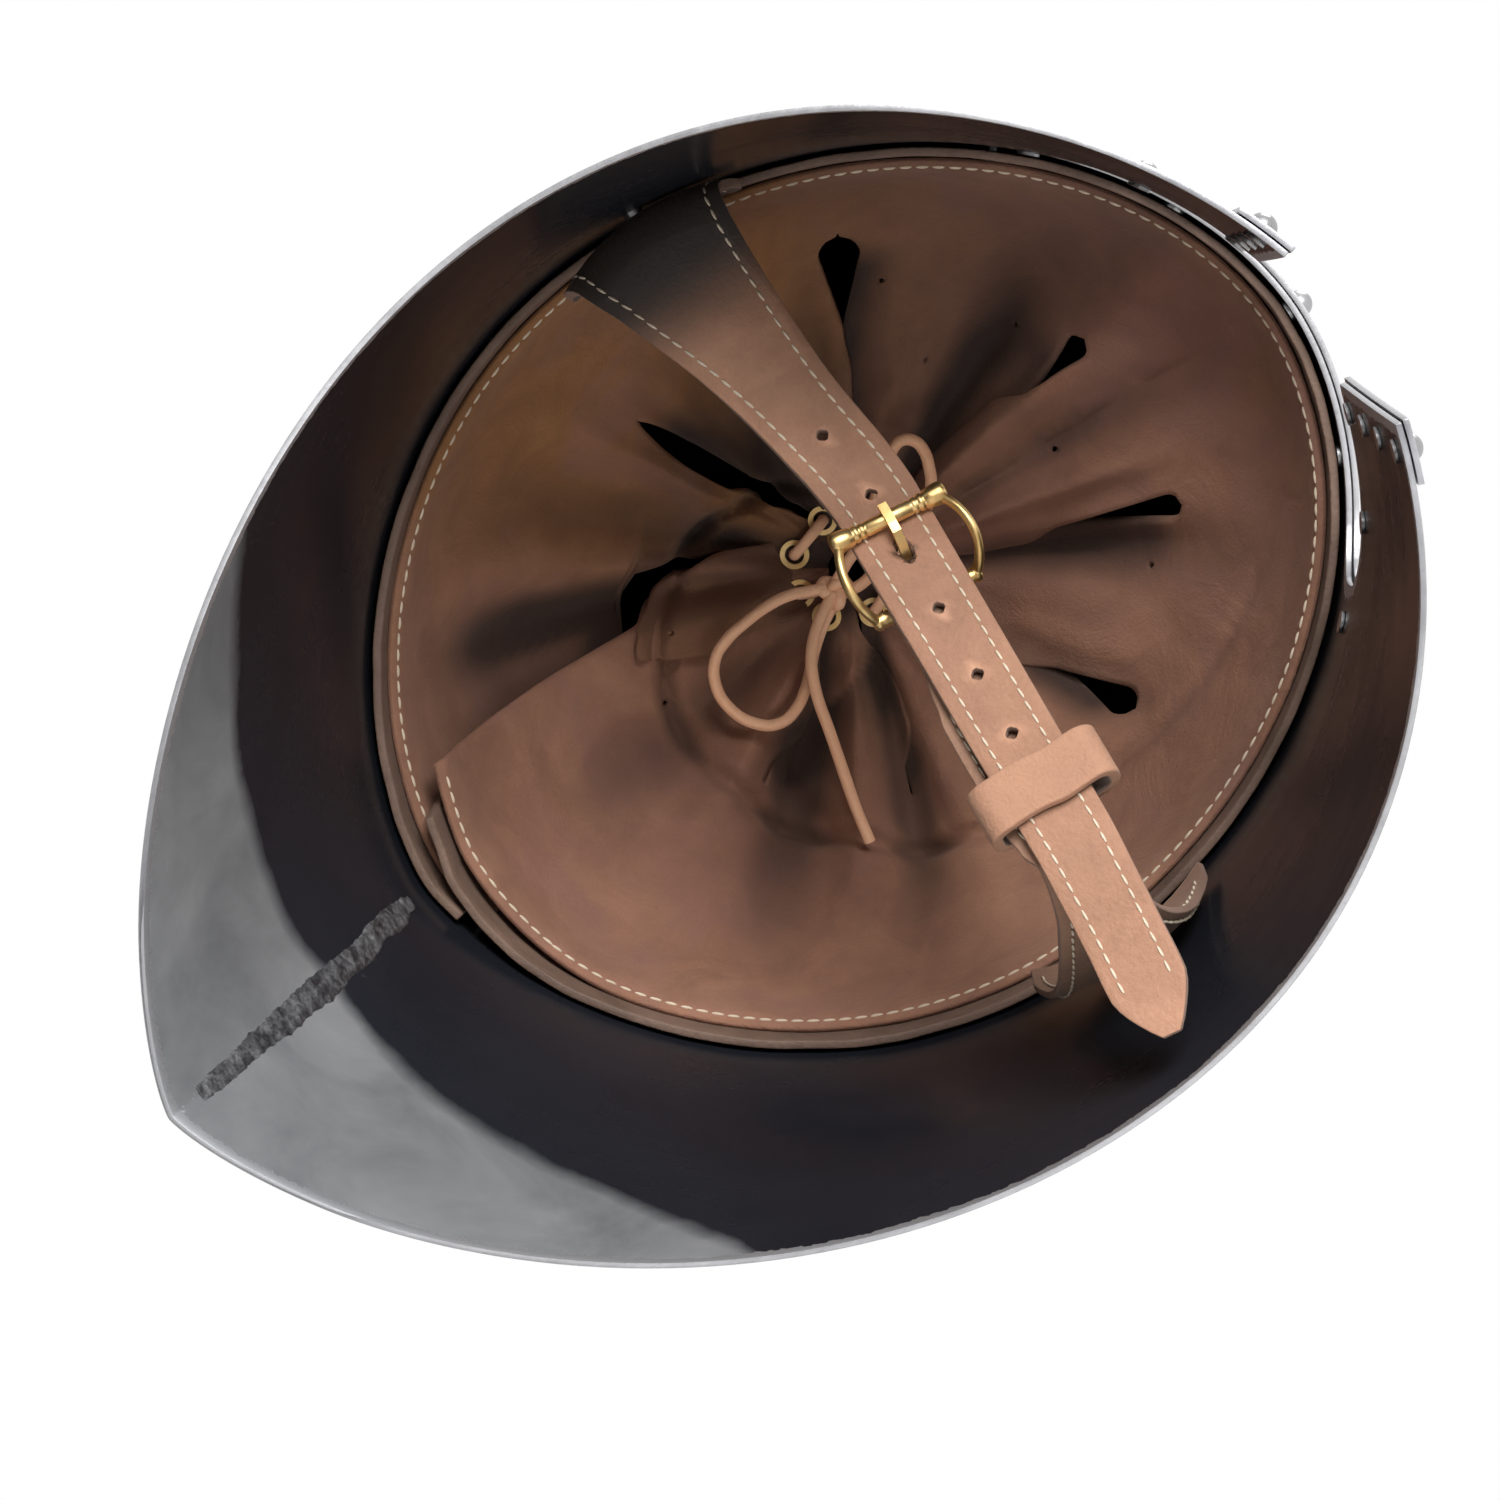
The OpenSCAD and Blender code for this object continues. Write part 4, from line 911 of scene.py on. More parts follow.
def make_liner():
    bm = bmesh.new()
    float_layers(bm, *SUEDE_LAYERS)
    rows = 84

    def tongue(low, high, columns, below, ends, first=False, last=False):
        """One tongue between two edges, each a function of the share of the way out from the gather.
        Below says for both edges whether the neighbour lies on top (1) or beneath (-1), and ends where
        the cut to that neighbour ends."""
        def heave(u, g):
            near = max(0.0, 1 - u / 0.4) ** 2, max(0.0, (u - 0.6) / 0.4) ** 2
            lifts = [near[k] * below[k] * ease((ends[k] - g) / 0.16) for k in (0, 1)]
            return -LIFT * ease((g - 0.15) / 0.12) * sum(lifts)

        def place(u, v):
            g = share(v)
            angle = mix(low(g), high(g), u)
            inner = stand_off(angle) if first else 0.0
            bury = 6.0 * ease((212 - angle) / 16) if last else 0.0
            return liner_point(angle, v, heave(u, g), inner, bury)

        def mark(vert, u, v):
            g = share(v)
            a0, a1 = low(g), high(g)
            angle = mix(a0, a1, u)
            # Painted shade: dark beneath each edge that a neighbour overlaps, in the buried end's valley
            # beside the free end, and just beyond the lobe's edge.
            reach = math.radians(1) * g * 90
            dark = sum(0.7 * ease((end - g) / 0.1) * math.exp(-(abs(angle - edge) * reach / 7) ** 2)
                       for edge, under, end in zip((a0, a1), below, ends) if under > 0)
            if last:
                dark += 0.7 * ease((210 - angle) / 9) * ease((g - 0.42) / 0.12) * ease((1.02 - g) / 0.25)
            edge, ledge = lobe_edge(angle)
            dark += 0.6 * ledge * ease((g - edge - 0.015) / 0.02) * (1 - ease((g - edge - 0.04) / 0.18))
            tint(bm, vert, angle, g, dark)
        sheet_grid(bm, columns, rows, place, mark=mark)

    def after(k, turn=0):
        return lambda g: tongue_edge(CUTS[k], g, 1) - turn

    def before(k):
        return lambda g: tongue_edge(CUTS[k], g, -1)

    def parted(*cuts):
        """The shares of the way out at which these cuts end; an edge of the open liner has none."""
        return [OPEN_END if k is None else CUTS[k].end / hem_reach(CUTS[k].at) for k in cuts]
    bm.loops.layers.uv.new("flat")
    tongue(after(3), free_edge, 36, (-CUTS[3].top, -0.6), parted(3, None), first=True)
    for low, high, columns, turn in ((2, 3, 34, 0), (1, 2, 34, 0), (0, 1, 26, 0),
                                     (6, 0, 26, 360), (5, 6, 32, 0), (4, 5, 34, 0)):
        tongue(after(low, turn), before(high), columns, (-CUTS[low].top, CUTS[high].top), parted(low, high))
    tongue(buried_edge, before(4), 50, (0.6, CUTS[4].top), parted(None, 4), last=True)
    bmesh.ops.remove_doubles(bm, verts=bm.verts, dist=4e-5)
    for x, y in PIN_HOLES:
        angle = polar(Vector((x, y)))
        g = math.hypot(x - GATHER.x, y - GATHER.y) / hem_reach(angle)
        punch(bm, liner_point(angle, row_of(g)), 0.75)
    piece = finish_mesh(bm, "suede_tongues", "helmet", suede, ["suede_liner"])
    thicken(piece, SUEDE_T, 1)
    return piece


def make_folded_tongue():
    """The tongue's end that is folded back and lies on the liner beside the gather."""
    bm = bmesh.new()
    float_layers(bm, *SUEDE_LAYERS)

    def place(u, v):
        y = mix(8, 50.5, v)
        left = mix(-16.5, -22.6, ease(v / 0.4)) + 3.2 * ease((v - 0.75) / 0.25)
        right = mix(2, -2.5, ease(v / 0.5)) - 6.5 * ease((v - 0.6) / 0.4)
        corner = math.sqrt(max(0.0, 1 - clamp((v - 0.9) / 0.1, 0, 1) ** 2))
        middle, half = (left + right) / 2, (right - left) / 2
        x = middle + half * mix(0.55, 1, corner) * (2 * u - 1)
        y -= 2.6 * ease((v - 0.5) / 0.5) * (1 - u)
        angle = polar(Vector((x, y)))
        g = math.hypot(x - GATHER.x, y - GATHER.y) / hem_reach(angle)
        under = liner_point(angle, row_of(g), 0, stand_off(angle))
        return Vector((x, y, under.z - SUEDE_T - 4.0 * ease(v / 0.3) + 2.2 * (1 - ease(v / 0.3))))

    def mark(vert, u, v):
        layer = bm.verts.layers.float
        vert[layer["shade"]] = 0.3 + 0.25 * ease((0.4 - v) / 0.3)
        vert[layer["warm"]] = 0.4
    sheet_grid(bm, 14, 30, place, mark=mark)
    punch(bm, (-12.6, 41.5, 190), 0.8)
    piece = finish_mesh(bm, "folded_tongue", "helmet", suede)
    thicken(piece, SUEDE_T, 1)
    return piece


# Stitches: each is one short hump of waxed thread
def stitch(bm, at, along, up, length, width=0.66, height=0.42):
    across = up.cross(along).normalized()
    along = (along.normalized() + 0.07 * across).normalized()
    up = along.cross(across).normalized()
    frame_of = Matrix((along * length / 2, across * width / 2, up * height)).transposed().to_4x4()
    place = Matrix.Translation(put(at)) @ Matrix.Scale(MM, 4) @ frame_of
    lying = place @ Matrix.Rotation(math.pi / 2, 4, "Y")
    bmesh.ops.create_uvsphere(bm, u_segments=8, v_segments=6, radius=1, matrix=lying)


def stitched_line(bm, points, ups, step, length):
    """Stitches at even steps along a line of points."""
    travelled, due = 0.0, step / 2
    for (p, q), (n, m) in zip(zip(points, points[1:]), zip(ups, ups[1:])):
        gap = (q - p).length
        while gap > 0 and travelled + gap >= due:
            t = (due - travelled) / gap
            stitch(bm, p.lerp(q, t), q - p, n.lerp(m, t).normalized(), length)
            due += step
        travelled += gap


# The hem's line of stitches, as the t of the liner's rows
HEM_LINE = 0.0026


def make_hem_stitches():
    bm = bmesh.new()

    def seam(angle, t, first):
        return liner_point(angle, t, 0.0, stand_off(angle) if first else 0.0)
    for start, end, first in ((163, FREE_END - 2, True), (BURIED_END + 1, 163, False)):
        points, ups = [], []
        for i in range(int((end - start) / 0.5) + 1):
            angle = start + 0.5 * i
            inner = first or angle > 100
            p = seam(angle, HEM_LINE, inner)
            along = seam(angle + 0.5, HEM_LINE, inner) - p
            rise = seam(angle, 0.012, inner) - p
            n = rise.cross(along).normalized()
            if n.z > 0:
                n = -n
            points.append(p + 0.3 * n)
            ups.append(n)
        stitched_line(bm, points, ups, 3.65, 2.9)
    return finish_mesh(bm, "hem_stitches", "helmet", thread)


make_skull()
make_crease_weld()
make_opening_band()
make_band_leather()
liner = make_liner()
tab = make_folded_tongue()
hem_thread = make_hem_stitches()


# Lace through the eyelets, and its knot. An eyelet lies halfway between two cuts of the source, on a ring
CAD_CUTS = [27, 65, 117, 163, 213, 256, 298, 343]
EYELET_RING = 12.5


def eyelet_spot(k):
    """Middle of an eyelet, as the part's source places it."""
    high = CAD_CUTS[k + 1] if k < 7 else CAD_CUTS[0] + 360
    e = wall((CAD_CUTS[k] + high) / 2 % 360, SUEDE_Z + 6, -face_back)
    away = Vector((e.x - GATHER.x, e.y - GATHER.y))
    g = EYELET_RING / away.length
    c = g ** (1 / 0.75)
    z = SUEDE_Z + SUEDE_RISE * math.sqrt(1 - c * c) ** 0.9 - SUEDE_T / 2
    return Vector((GATHER.x + away.x * g, GATHER.y + away.y * g, z))


def make_weave():
    """The lace's stretch through the eyelets: through each, and in an arch to the next."""
    up = Vector((0, 0, 1))
    spots = [eyelet_spot(k) for k in (3, 4, 5, 6, 7, 0, 1, 2)]
    points = [knot_at + Vector((-1.6, 0.8, 1)), knot_at + Vector((-2.1, 2.8, 1.6)),
              spots[0] + Vector((0.9, -2.6, -5)), spots[0] + Vector((0.2, -0.8, -3.2))]
    for k, (p, q) in enumerate(zip(spots, spots[1:])):
        s = 1 if k % 2 == 0 else -1
        points += [p - up * 1.9 * s, p + up * 1.9 * s]
        for t in (math.radians(d) for d in (30, 60, 90, 120, 150)):
            points.append(p.lerp(q, (1 - math.cos(t)) / 2) + up * s * (1.9 + 3.4 * math.sin(t)))
    end = spots[-1]
    points += [end + up * 1.9, end - up * 1.9,
               end + Vector((-0.3, -0.5, -3.2)), end + Vector((-1.2, -1.7, -5)),
               knot_at + Vector((3.2, 2.2, 1.7)), knot_at + Vector((2.2, 0.6, 0.9))]
    lace_curve("lace_weave", points, "lace_gather")


def make_knot():
    """An overhand knot: the lace crosses itself in a trefoil that is drawn tight."""
    points = []
    for i in range(25):
        t = 2 * math.pi * i / 24
        points.append(knot_at + Vector((1.25 * (math.sin(t) + 1.7 * math.sin(2 * t)),
                                        1.25 * (math.cos(t) - 1.7 * math.cos(2 * t)),
                                        -1.6 * math.sin(3 * t) - 0.5)))
    lace_curve("lace_knot_turns", points, "lace_knot")


make_weave()
make_knot()


# Straps: the run is straight through buckle and keeper, u to the tip, n away from the head
def unit(x, y, z):
    return Vector((x, y, z)).normalized()


buckle_at = Vector((1.5, -26.4, 70.3))
run = unit(0.87, 0.01, -0.49)
BUCKLE_ROLL, KEEPER_ROLL = 18, 9
inner_wall_x = wall(90 + math.degrees(math.asin(ANCHOR_Y / face_reach(ANCHOR_Z))), ANCHOR_Z, -PLATE_T).x
strap_mid_x = inner_wall_x - 0.9 - STRAP_T / 2


def across(d, roll):
    w = Vector((0, -math.cos(math.radians(roll)), math.sin(math.radians(roll))))
    return (w - d * w.dot(d)).normalized()


def run_roll(u):
    return mix(BUCKLE_ROLL, KEEPER_ROLL, clamp((u - 14) / 26, 0, 1))


def strap_half(u):
    return mix(STRAP_W, STRAP_TIP_W, clamp((u + 44) / 150, 0, 1)) / 2


def at_u(u):
    return buckle_at + u * run


def on_run(u, v, n, roll):
    """A place beside the run, from distances along it, across it and away from the head."""
    w = across(run, roll)
    return at_u(u) + v * w + n * run.cross(w)


def run_station(u, n, half, t=STRAP_T, aside=0.0):
    return (on_run(u, aside, n, run_roll(u)), run, across(run, run_roll(u)), half, 0.0, t)


def free_stations(rows, first, last):
    """Stations from x, y, z, roll, half width and share of the dish."""
    made = []
    for i, p in enumerate(rows):
        a = Vector(rows[i - 1][:3]) if i else Vector(first)
        b = Vector(rows[i + 1][:3]) if i < len(rows) - 1 else Vector(last)
        d = (b - a).normalized()
        made.append((Vector(p[:3]), d, across(d, p[3]), p[4], DISH * p[5], STRAP_T))
    return made


half_flare = FLARE_W / 2
billet_base = [
    (-strap_mid_x + LEAN, ANCHOR_Y, ANCHOR_Z + 11, 0, half_flare, 1),
    (-strap_mid_x + 0.3 * LEAN, ANCHOR_Y, ANCHOR_Z + 5, 0, half_flare, 1),
    (-strap_mid_x, ANCHOR_Y, ANCHOR_Z - 1, 0, half_flare - 0.6, 1),
    (-strap_mid_x + 0.5, ANCHOR_Y - 0.2, ANCHOR_Z - 6, 0, half_flare - 2, 1),
    (-strap_mid_x + 2.8, ANCHOR_Y - 0.5, ANCHOR_Z - 9.6, 1, half_flare - 3.4, 0.9),
    (-90, -17, 94, 2, 18, 0.7), (-84, -17.9, 93.3, 3, 16.3, 0.5), (-75, -19.1, 94, 5, 14.4, 0.3),
    (-64, -20.6, 94.3, 7, 12.4, 0.15), (-53, -22, 93.4, 10, 10.9, 0), (-44, -23.2, 91.6, 12, 10.1, 0),
    (-35.2, -24.6, 88.9, 14, 9.8, 0), (-28.5, -25.7, 86.2, 16, 9.7, 0)]
billet_tip = [(70, -24.9, 33, 6, 8.5, 0), (80, -24, 28.8, 3, 8.4, 0), (90.5, -22.9, 24.6, 1, 8.3, 0),
              (95, -22.4, 22.8, 0, 6.2, 0), (99, -22, 21.3, 0, 3.4, 0), (100.4, -21.8, 20.8, 0, 2, 0)]
billet_run = (-22, -13, -5, 5, 14, 21, 28, 34, 40, 47, 57, 64)
billet_stations = (free_stations(billet_base, (-strap_mid_x + 3 * LEAN, ANCHOR_Y, ANCHOR_Z + 20), at_u(-22))
                   + [run_station(u, 0, strap_half(u)) for u in billet_run]
                   + free_stations(billet_tip, at_u(57), (101.8, -21.6, 20.3)))
STRAP_HOLE_R, HOLE_STEP, TONGUE_HOLE_U = 1.35, 16, -9.4
BILLET_UNDER, FOLD_T, FOLD_HALF = 1.6, 1.6, 7.6
bar_n = -BILLET_UNDER - FOLD_T - BAR_R - 0.15
fold_r = BAR_R + 0.08 + FOLD_T / 2
return_n = -BILLET_UNDER - FOLD_T - 0.35 - FOLD_T / 2
chape_rise = [
    (63.4, -24.5, 40.3, 8, 8.8, 0), (66.9, -23.7, 41.3, 7, 8.9, 0), (70.4, -22.6, 43.7, 6, 9.1, 0),
    (73.7, -21.4, 47.7, 5, 9.4, 0), (78, -19.8, 53.8, 4, 10.4, 0.1), (83, -18.3, 61.4, 3, 12, 0.2),
    (87.2, -17.3, 69, 2, 13.8, 0.35), (91, -16.7, 77.4, 1, 16, 0.5), (94, -16.3, 86, 0, 18.3, 0.7),
    (strap_mid_x - 0.8, ANCHOR_Y - 0.1, ANCHOR_Z - 11, 0, half_flare - 2, 0.9),
    (strap_mid_x, ANCHOR_Y, ANCHOR_Z - 4, 0, half_flare - 0.6, 1),
    (strap_mid_x, ANCHOR_Y, ANCHOR_Z + 1, 0, half_flare, 1),
    (strap_mid_x - 0.3 * LEAN, ANCHOR_Y, ANCHOR_Z + 5, 0, half_flare, 1),
    (strap_mid_x - LEAN, ANCHOR_Y, ANCHOR_Z + 11, 0, half_flare, 1)]


def fold_station(u, n, du, dn, half=FOLD_HALF):
    w = across(run, BUCKLE_ROLL)
    return (on_run(u, 0, n, BUCKLE_ROLL), (du * run + dn * run.cross(w)).normalized(), w, half, 0.0, FOLD_T)


def arc_station(t):
    """A station on the fold round the hinge bar."""
    c, s = math.cos(math.radians(t)), math.sin(math.radians(t))
    return fold_station(fold_r * c, bar_n + fold_r * s, s, -c)


def lower_station(u):
    """A station of the short strap under the long one, pushed a little aside."""
    aside = -3 * ease((u - 14) / 20) * ease((70 - u) / 12)
    return run_station(u, -BILLET_UNDER - STRAP_T / 2, strap_half(u), STRAP_T, aside)


chape_stations = (
    [fold_station(*row) for row in ((18, return_n - 0.6, -1, 0.05), (12, return_n - 0.3, -1, 0.03),
                                    (7, return_n - 0.8, -1, -0.2), (4, bar_n - 1.6, -1, -0.3),
                                    (1.6, bar_n - fold_r, -1, -0.05))]
    + [arc_station(-90 - 22.5 * i) for i in range(9)]
    + [fold_station(5, bar_n + fold_r, 1, 0), fold_station(12, bar_n + fold_r, 1, 0, 8.4)]
    + [lower_station(u) for u in (24, 30, 40, 48, 56, 62, 66.5)]
    + free_stations(chape_rise, at_u(64) + Vector((1.3, 0.5, 2.3)),
                    (strap_mid_x - 3 * LEAN, ANCHOR_Y, ANCHOR_Z + 20)))


def between(stations, s):
    """The station at a place s counted in stations, on a smooth line through them."""
    i = int(clamp(math.floor(s), 0, len(stations) - 2))
    t = s - i
    a, b = stations[i], stations[i + 1]
    before, after = stations[max(i - 1, 0)], stations[min(i + 2, len(stations) - 1)]
    gap = (b[0] - a[0]).length
    h, leave, arrive = t * t * (3 - 2 * t), t - 2 * t * t + t ** 3, t ** 3 - t * t
    middle = a[0] * (1 - h) + b[0] * h + a[1] * gap * leave + b[1] * gap * arrive
    d = a[1].lerp(b[1], t).normalized()
    w = a[2].lerp(b[2], t)
    w = (w - d * w.dot(d)).normalized()
    slope = (b[3] - before[3]) / 2, (after[3] - a[3]) / 2
    half = a[3] * (1 - h) + b[3] * h + slope[0] * leave + slope[1] * arrive
    return middle, d, w, half, mix(a[4], b[4], t), mix(a[5], b[5], t)


def even_steps(stations, step):
    """Places along the stations that are about a step apart, and their distances from the start."""
    fine = [i / 12 for i in range(12 * (len(stations) - 1) + 1)]
    spots = [between(stations, s)[0] for s in fine]
    run_length = [0.0]
    for p, q in zip(spots, spots[1:]):
        run_length.append(run_length[-1] + (q - p).length)
    count = max(2, round(run_length[-1] / step))
    places, j = [], 0
    for i in range(count + 1):
        want = run_length[-1] * i / count
        while j < len(run_length) - 2 and run_length[j + 1] < want:
            j += 1
        t = (want - run_length[j]) / max(1e-9, run_length[j + 1] - run_length[j])
        places.append((mix(fine[j], fine[j + 1], clamp(t, 0, 1)), want))
    return places, run_length[-1]


def strap_surface(stations, s, t, lift=0.0):
    """A point on a strap at a share t of its half width, and the direction away from the head."""
    middle, d, w, half, dish, _ = between(stations, s)
    n = d.cross(w)
    return middle + w * half * t + n * (lift - dish * half * half * t * t), n


def strap_mesh(stations, step, columns, shaded, round_end=0.0):
    """The middle sheet of a strap, with its length in its UV map and a shade for each vertex."""
    places, length = even_steps(stations, step)
    bm = bmesh.new()

    def place(u, v):
        s, travelled = places[round(v * (len(places) - 1))]
        t = columns[round(u * (len(columns) - 1))]
        if travelled < round_end:
            inset = round_end - math.sqrt(max(0.0, round_end ** 2 - (round_end - travelled) ** 2))
            t *= 1 - inset / between(stations, s)[3]
        return strap_surface(stations, s, t)[0]
    shade, rub = float_layers(bm, "shade", "rub")
    sheet_grid(bm, len(columns) - 1, len(places) - 1, place, lambda u, v: (u, v * length / 100))
    for vert in bm.verts:
        vert[shade] = shaded(vert.co / MM - Vector((0, AXIS_Y, 0)))
        vert[rub] = 0.0
    return bm


def stitch_rows(bm, stations, inset, first, last):
    """Two lines of stitches along both faces of a strap."""
    places, length = even_steps(stations, 2.0)
    for edge, face in ((-1, 1), (-1, -1), (1, 1), (1, -1)):
        points, ups = [], []
        for s, travelled in places:
            if not first <= travelled <= length - last:
                continue
            *_, half, _, thickness = between(stations, s)
            beside = edge * max(0.0, 1 - inset / half)
            p, n = strap_surface(stations, s, beside, face * (thickness / 2 + 0.03))
            points.append(p)
            ups.append(n * face)
        stitched_line(bm, points, ups, 3.35, 2.7)


def finish_strap(bm, stations, name, grain, node, thickness, edge, inset, first, last):
    """Gives a strap its thickness, rounds its edges and sews two lines along both its faces."""
    piece = finish_mesh(bm, name, "chin_strap", [grain, grain, cut_leather], [node])
    thicken(piece, thickness, 0, 0, 2)
    soften(piece, edge, 2, 45)
    sewn = bmesh.new()
    stitch_rows(sewn, stations, inset, first, last)
    finish_mesh(sewn, name + "_stitches", "chin_strap", thread)


def make_billet():
    def shaded(p):
        # Darker towards the strap's anchored end.
        return 0.97 * ease((-62 - p.x) / 22)
    bm = strap_mesh(billet_stations, 2.2, [2 * i / 10 - 1 for i in range(11)], shaded, 6)
    holes = [billet_stations[11][0]] + [at_u(TONGUE_HOLE_U + k * HOLE_STEP) for k in (-1, 1, 2, 3)]
    rub = bm.verts.layers.float["rub"]
    for at in holes:
        punch(bm, at, STRAP_HOLE_R)
        for vert in bm.verts:
            vert[rub] = max(vert[rub], ease(1.9 - (vert.co - put(at)).length / MM / STRAP_HOLE_R))
    punch(bm, at_u(TONGUE_HOLE_U), 1.5, run, 1.6)
    finish_strap(bm, billet_stations, "long_strap", billet_grain, "billet_strap", STRAP_T, 0.45, 3.2, 7, 9)


def make_chape():
    slot = 1.4
    columns = [-1, -0.8, -0.6, -0.38, -slot / FOLD_HALF, slot / FOLD_HALF, 0.38, 0.6, 0.8, 1]

    def shaded(p):
        # A little darker towards the strap's anchored end.
        return 0.25 * ease((p.x - 70) / 20)
    bm = strap_mesh(chape_stations, 1.3, columns, shaded)
    w = across(run, BUCKLE_ROLL)
    gone = []
    for f in bm.faces:
        d = f.calc_center_median() - put(buckle_at)
        u, v, n = (d.dot(axis) / MM for axis in (run, w, run.cross(w)))
        if -6 < u < 3.2 and abs(v) < slot - 0.1 and n < 0:
            gone.append(f)
    bmesh.ops.delete(bm, geom=gone, context="FACES")
    finish_strap(bm, chape_stations, "short_strap", chape_grain, "chape_strap", FOLD_T + 0.1, 0.35,
                 2.6, 46, 7)


# Buckle: two lathe-turned bars and two bowed arms
def turned_bar(bm, middle, axis, half):
    """A bar turned on a lathe: distances from its middle and radii, in millimetres, for one half of it."""
    profile = [(-s, r) for s, r in reversed(half)] + half[1:]
    side_way = axis.orthogonal().normalized()
    verts = [bm.verts.new(put(middle + axis * s + side_way * r)) for s, r in profile]
    edges = [bm.edges.new(pair) for pair in zip(verts, verts[1:])]
    bmesh.ops.spin(bm, geom=verts + edges, cent=put(middle), axis=axis, dvec=(0, 0, 0),
                   angle=2 * math.pi, steps=24, use_merge=True, use_duplicate=False)


# Half the arc that the buckle's arms bow through from bar to bar
ARM_SPAN = 49.4


def make_buckle():
    bm = bmesh.new()
    w = across(run, BUCKLE_ROLL)
    n = run.cross(w)
    front_n = STRAP_T / 2 + BAR_R + 0.3
    arm_v = strap_half(-BAR_STEP) + 1.75
    turned_bar(bm, on_run(-BAR_STEP, 0, front_n + 0.35, BUCKLE_ROLL), w,
               [(0, 1.72), (5.2, 1.68), (5.5, 1.45), (5.8, 1.75), (6.6, 1.8), (6.9, 1.5), (7.2, 1.9),
                (8.1, 2.0), (8.4, 1.65), (8.7, 2.05), (10.0, 2.3), (11.4, 2.5), (12.6, 2.5), (13.3, 2.25),
                (13.6, 1.6), (13.7, 0.0)])
    turned_bar(bm, on_run(0, 0, bar_n, BUCKLE_ROLL), w,
               [(0, BAR_R), (8.6, BAR_R), (9.2, 1.9), (9.8, 1.5), (10.3, 1.95), (10.9, 1.5), (11.4, 1.95),
                (12.2, 1.8), (12.8, 1.2), (13.0, 0.0)])
    rise = front_n - bar_n
    chord = math.hypot(BAR_STEP, rise)
    span = math.radians(ARM_SPAN)
    big_r = chord / 2 / math.sin(span)
    sag = big_r * math.cos(span)
    cu, cn = -BAR_STEP / 2 - sag * rise / chord, (front_n + bar_n) / 2 - sag * BAR_STEP / chord
    start = math.atan2(BAR_STEP, rise)
    for s in (-1, 1):
        def path(v):
            turn = start + mix(-span, span, v)
            radial = run * math.cos(turn) + n * math.sin(turn)
            bulge = s * (arm_v + 3.6 * math.sin(math.pi * v) ** 0.8)
            return at_u(cu) + n * cn + radial * big_r + w * bulge, radial, w
        tube(bm, path, lambda v: 1.15 + 0.3 * abs(2 * v - 1) ** 3, 12, 30, 0.92)
    bmesh.ops.remove_doubles(bm, verts=bm.verts, dist=1e-6)
    close_ends(bm)
    finish_mesh(bm, "buckle_ring", "buckle", gold, ["buckle_frame"])


# Keeper: a rounded leather loop with a rough inner side
def make_keeper():
    bm = bmesh.new()
    stack = BILLET_UNDER + STRAP_T * 1.5
    wide, high, r = 2 * strap_half(KEEPER_U) + KEEPER_ROOM, stack + 1.2, 2.2
    straight = [(wide / 2 - r, high / 2 - r), (-wide / 2 + r, high / 2 - r), (-wide / 2 + r, -high / 2 + r),
                (wide / 2 - r, -high / 2 + r)]
    outline = []
    for k, (cx, cy) in enumerate(straight):
        for i in range(9):
            t = math.radians(90 * k + 90 * i / 8)
            outline.append((cx + r * math.cos(t), cy + r * math.sin(t)))
        nx, ny = straight[(k + 1) % 4]
        end = math.radians(90 * (k + 1))
        px, py = cx + r * math.cos(end), cy + r * math.sin(end)
        qx, qy = nx + r * math.cos(end), ny + r * math.sin(end)
        steps = 10 if k % 2 == 0 else 2
        outline += [(mix(px, qx, i / steps), mix(py, qy, i / steps)) for i in range(1, steps)]
    mid_n = STRAP_T / 2 - stack / 2

    def place(u, v):
        x, y = outline[round(u * len(outline)) % len(outline)]
        wave = 0.25 * math.sin(x * 0.4) + 0.2 * rough(x * 0.2, y * 0.3, 4)
        along = (v - 0.5) * KEEPER_W + wave
        return on_run(KEEPER_U + along, x, mid_n + y, KEEPER_ROLL)
    sheet_grid(bm, len(outline), 8, place, joined=True)
    bmesh.ops.recalc_face_normals(bm, faces=bm.faces)
    piece = finish_mesh(bm, "keeper_loop", "keeper", [keeper_grain, keeper_back],
                        ["strap_keeper"])
    thicken(piece, KEEPER_T, 1, 1, 0)
    soften(piece, 0.6, 3, 45)


make_billet()
make_chape()
make_buckle()
make_keeper()


def clad(node, material):
    """Gives a CAD node's solids one material."""
    mesh = frame["nodes"][node].data
    mesh.materials.clear()
    mesh.materials.append(material)


for node in ("face_band_rivets", "liner_rivets", "liner_washers", "billet_anchor_rivet",
             "billet_anchor_washer", "chape_anchor_rivet", "chape_anchor_washer"):
    clad(node, rivet_steel)
for node in ("tongue_eyelets", "buckle_tongue"):
    clad(node, gold)


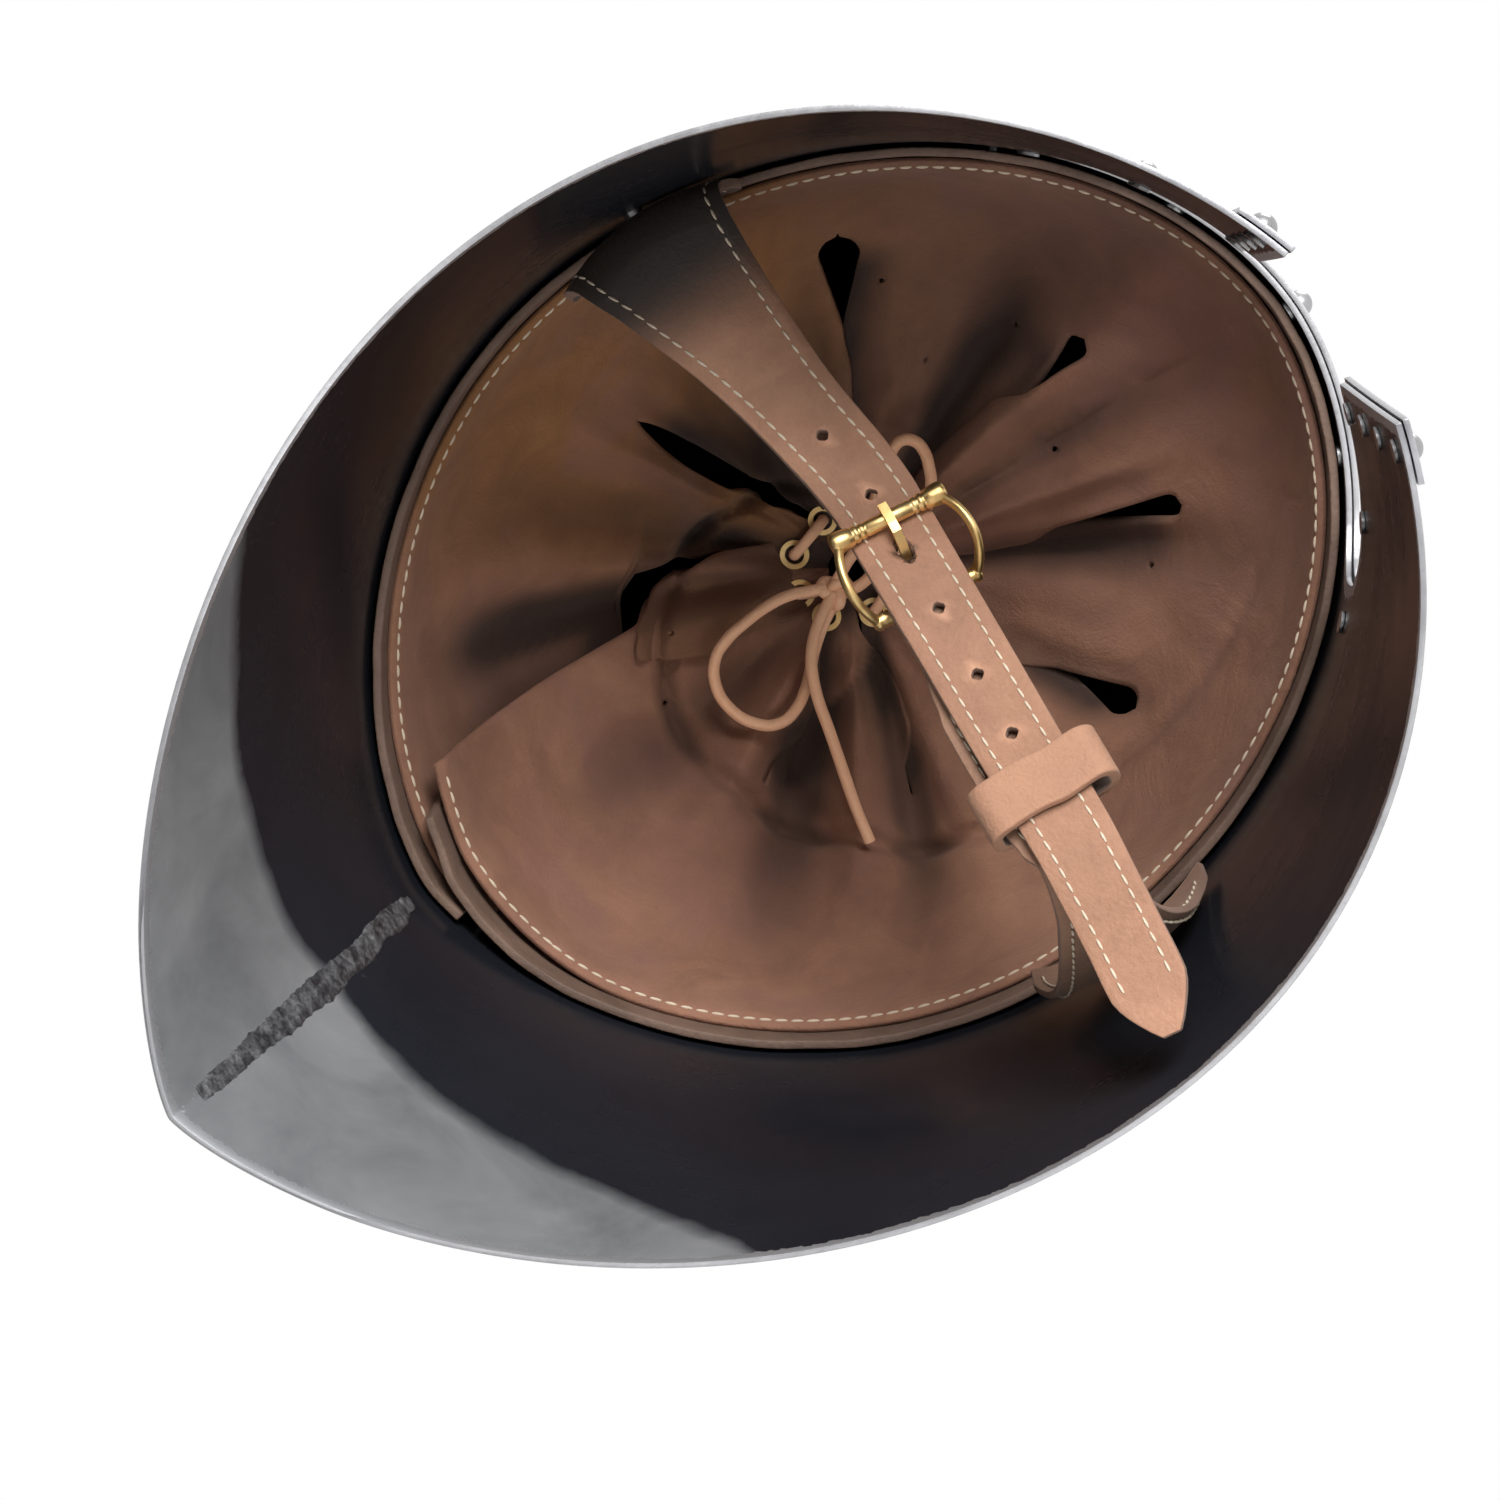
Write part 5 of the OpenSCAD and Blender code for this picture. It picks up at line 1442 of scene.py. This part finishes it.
# Studio: a pale floor that is only there from above, a white surround and soft lamps
def stage_floor():
    f = Finish("floor", Roughness=0.9)
    f.to("Base Color", f.ramp(f.noise(3, 2), (0.3, (0.8, 0.8, 0.8)), (0.7, (0.83, 0.83, 0.82))))
    path = f.nodes.new("ShaderNodeLightPath")
    side = f.nodes.new("ShaderNodeNewGeometry")
    clear = f.nodes.new("ShaderNodeBsdfTransparent")
    pick = f.nodes.new("ShaderNodeMixShader")
    f.link(f.math("MAXIMUM", path.outputs["Is Shadow Ray"], side.outputs["Backfacing"]), pick.inputs[0])
    f.link(f.shader.outputs[0], pick.inputs[1])
    f.link(clear.outputs[0], pick.inputs[2])
    f.link(pick.outputs[0], f.nodes["Material Output"].inputs["Surface"])
    bm = bmesh.new()
    bmesh.ops.create_circle(bm, cap_ends=True, segments=96, radius=3.0)
    mesh = bpy.data.meshes.new("floor")
    bm.to_mesh(mesh)
    bm.free()
    mesh.materials.append(f.material)
    floor = show("floor", mesh)
    floor.location = (0, 0, cad_box[0][2] - 0.0002)


def lamp(name, at, target, size, power):
    data = bpy.data.lights.new(name, "AREA")
    data.shape = "DISK"
    data.size = size
    data.energy = power
    light = show(name, data)
    light.location = at
    light.rotation_euler = (Vector(target) - Vector(at)).to_track_quat("-Z", "Y").to_euler()


def surround():
    """White to the camera and in mirrors and clear pieces, a little dimmer as a light."""
    world = bpy.data.worlds.new("surround")
    world.use_nodes = True
    tree = Nodes(world.node_tree)
    seen = tree.nodes.new("ShaderNodeLightPath").outputs
    shown = tree.math("MAXIMUM", seen["Is Camera Ray"], seen["Is Glossy Ray"])
    shown = tree.math("MAXIMUM", shown, seen["Is Transmission Ray"])
    level = tree.nodes.new("ShaderNodeMapRange")
    level.inputs["To Min"].default_value = 0.8
    level.inputs["To Max"].default_value = 1.0
    tree.link(shown, level.inputs["Value"])
    background = tree.nodes["Background"]
    background.inputs["Color"].default_value = (1, 1, 1, 1)
    tree.link(level.outputs["Result"], background.inputs["Strength"])
    bpy.context.scene.world = world


stage_floor()
surround()
lamp("key_from_below", (-0.75, -0.85, -1.05), (0, 0.02, 0.12), 0.9, 46)
lamp("fill_from_below", (0.7, 0.2, -1.3), (0, 0, 0.12), 1.2, 15)
lamp("key_from_above", (-1.2, -1.6, 1.9), (0, 0, 0.15), 1.2, 30)
lamp("fill_from_above", (1.7, 0.6, 1.4), (0, 0, 0.15), 1.4, 16)

bpy.context.scene.view_settings.view_transform = "Standard"
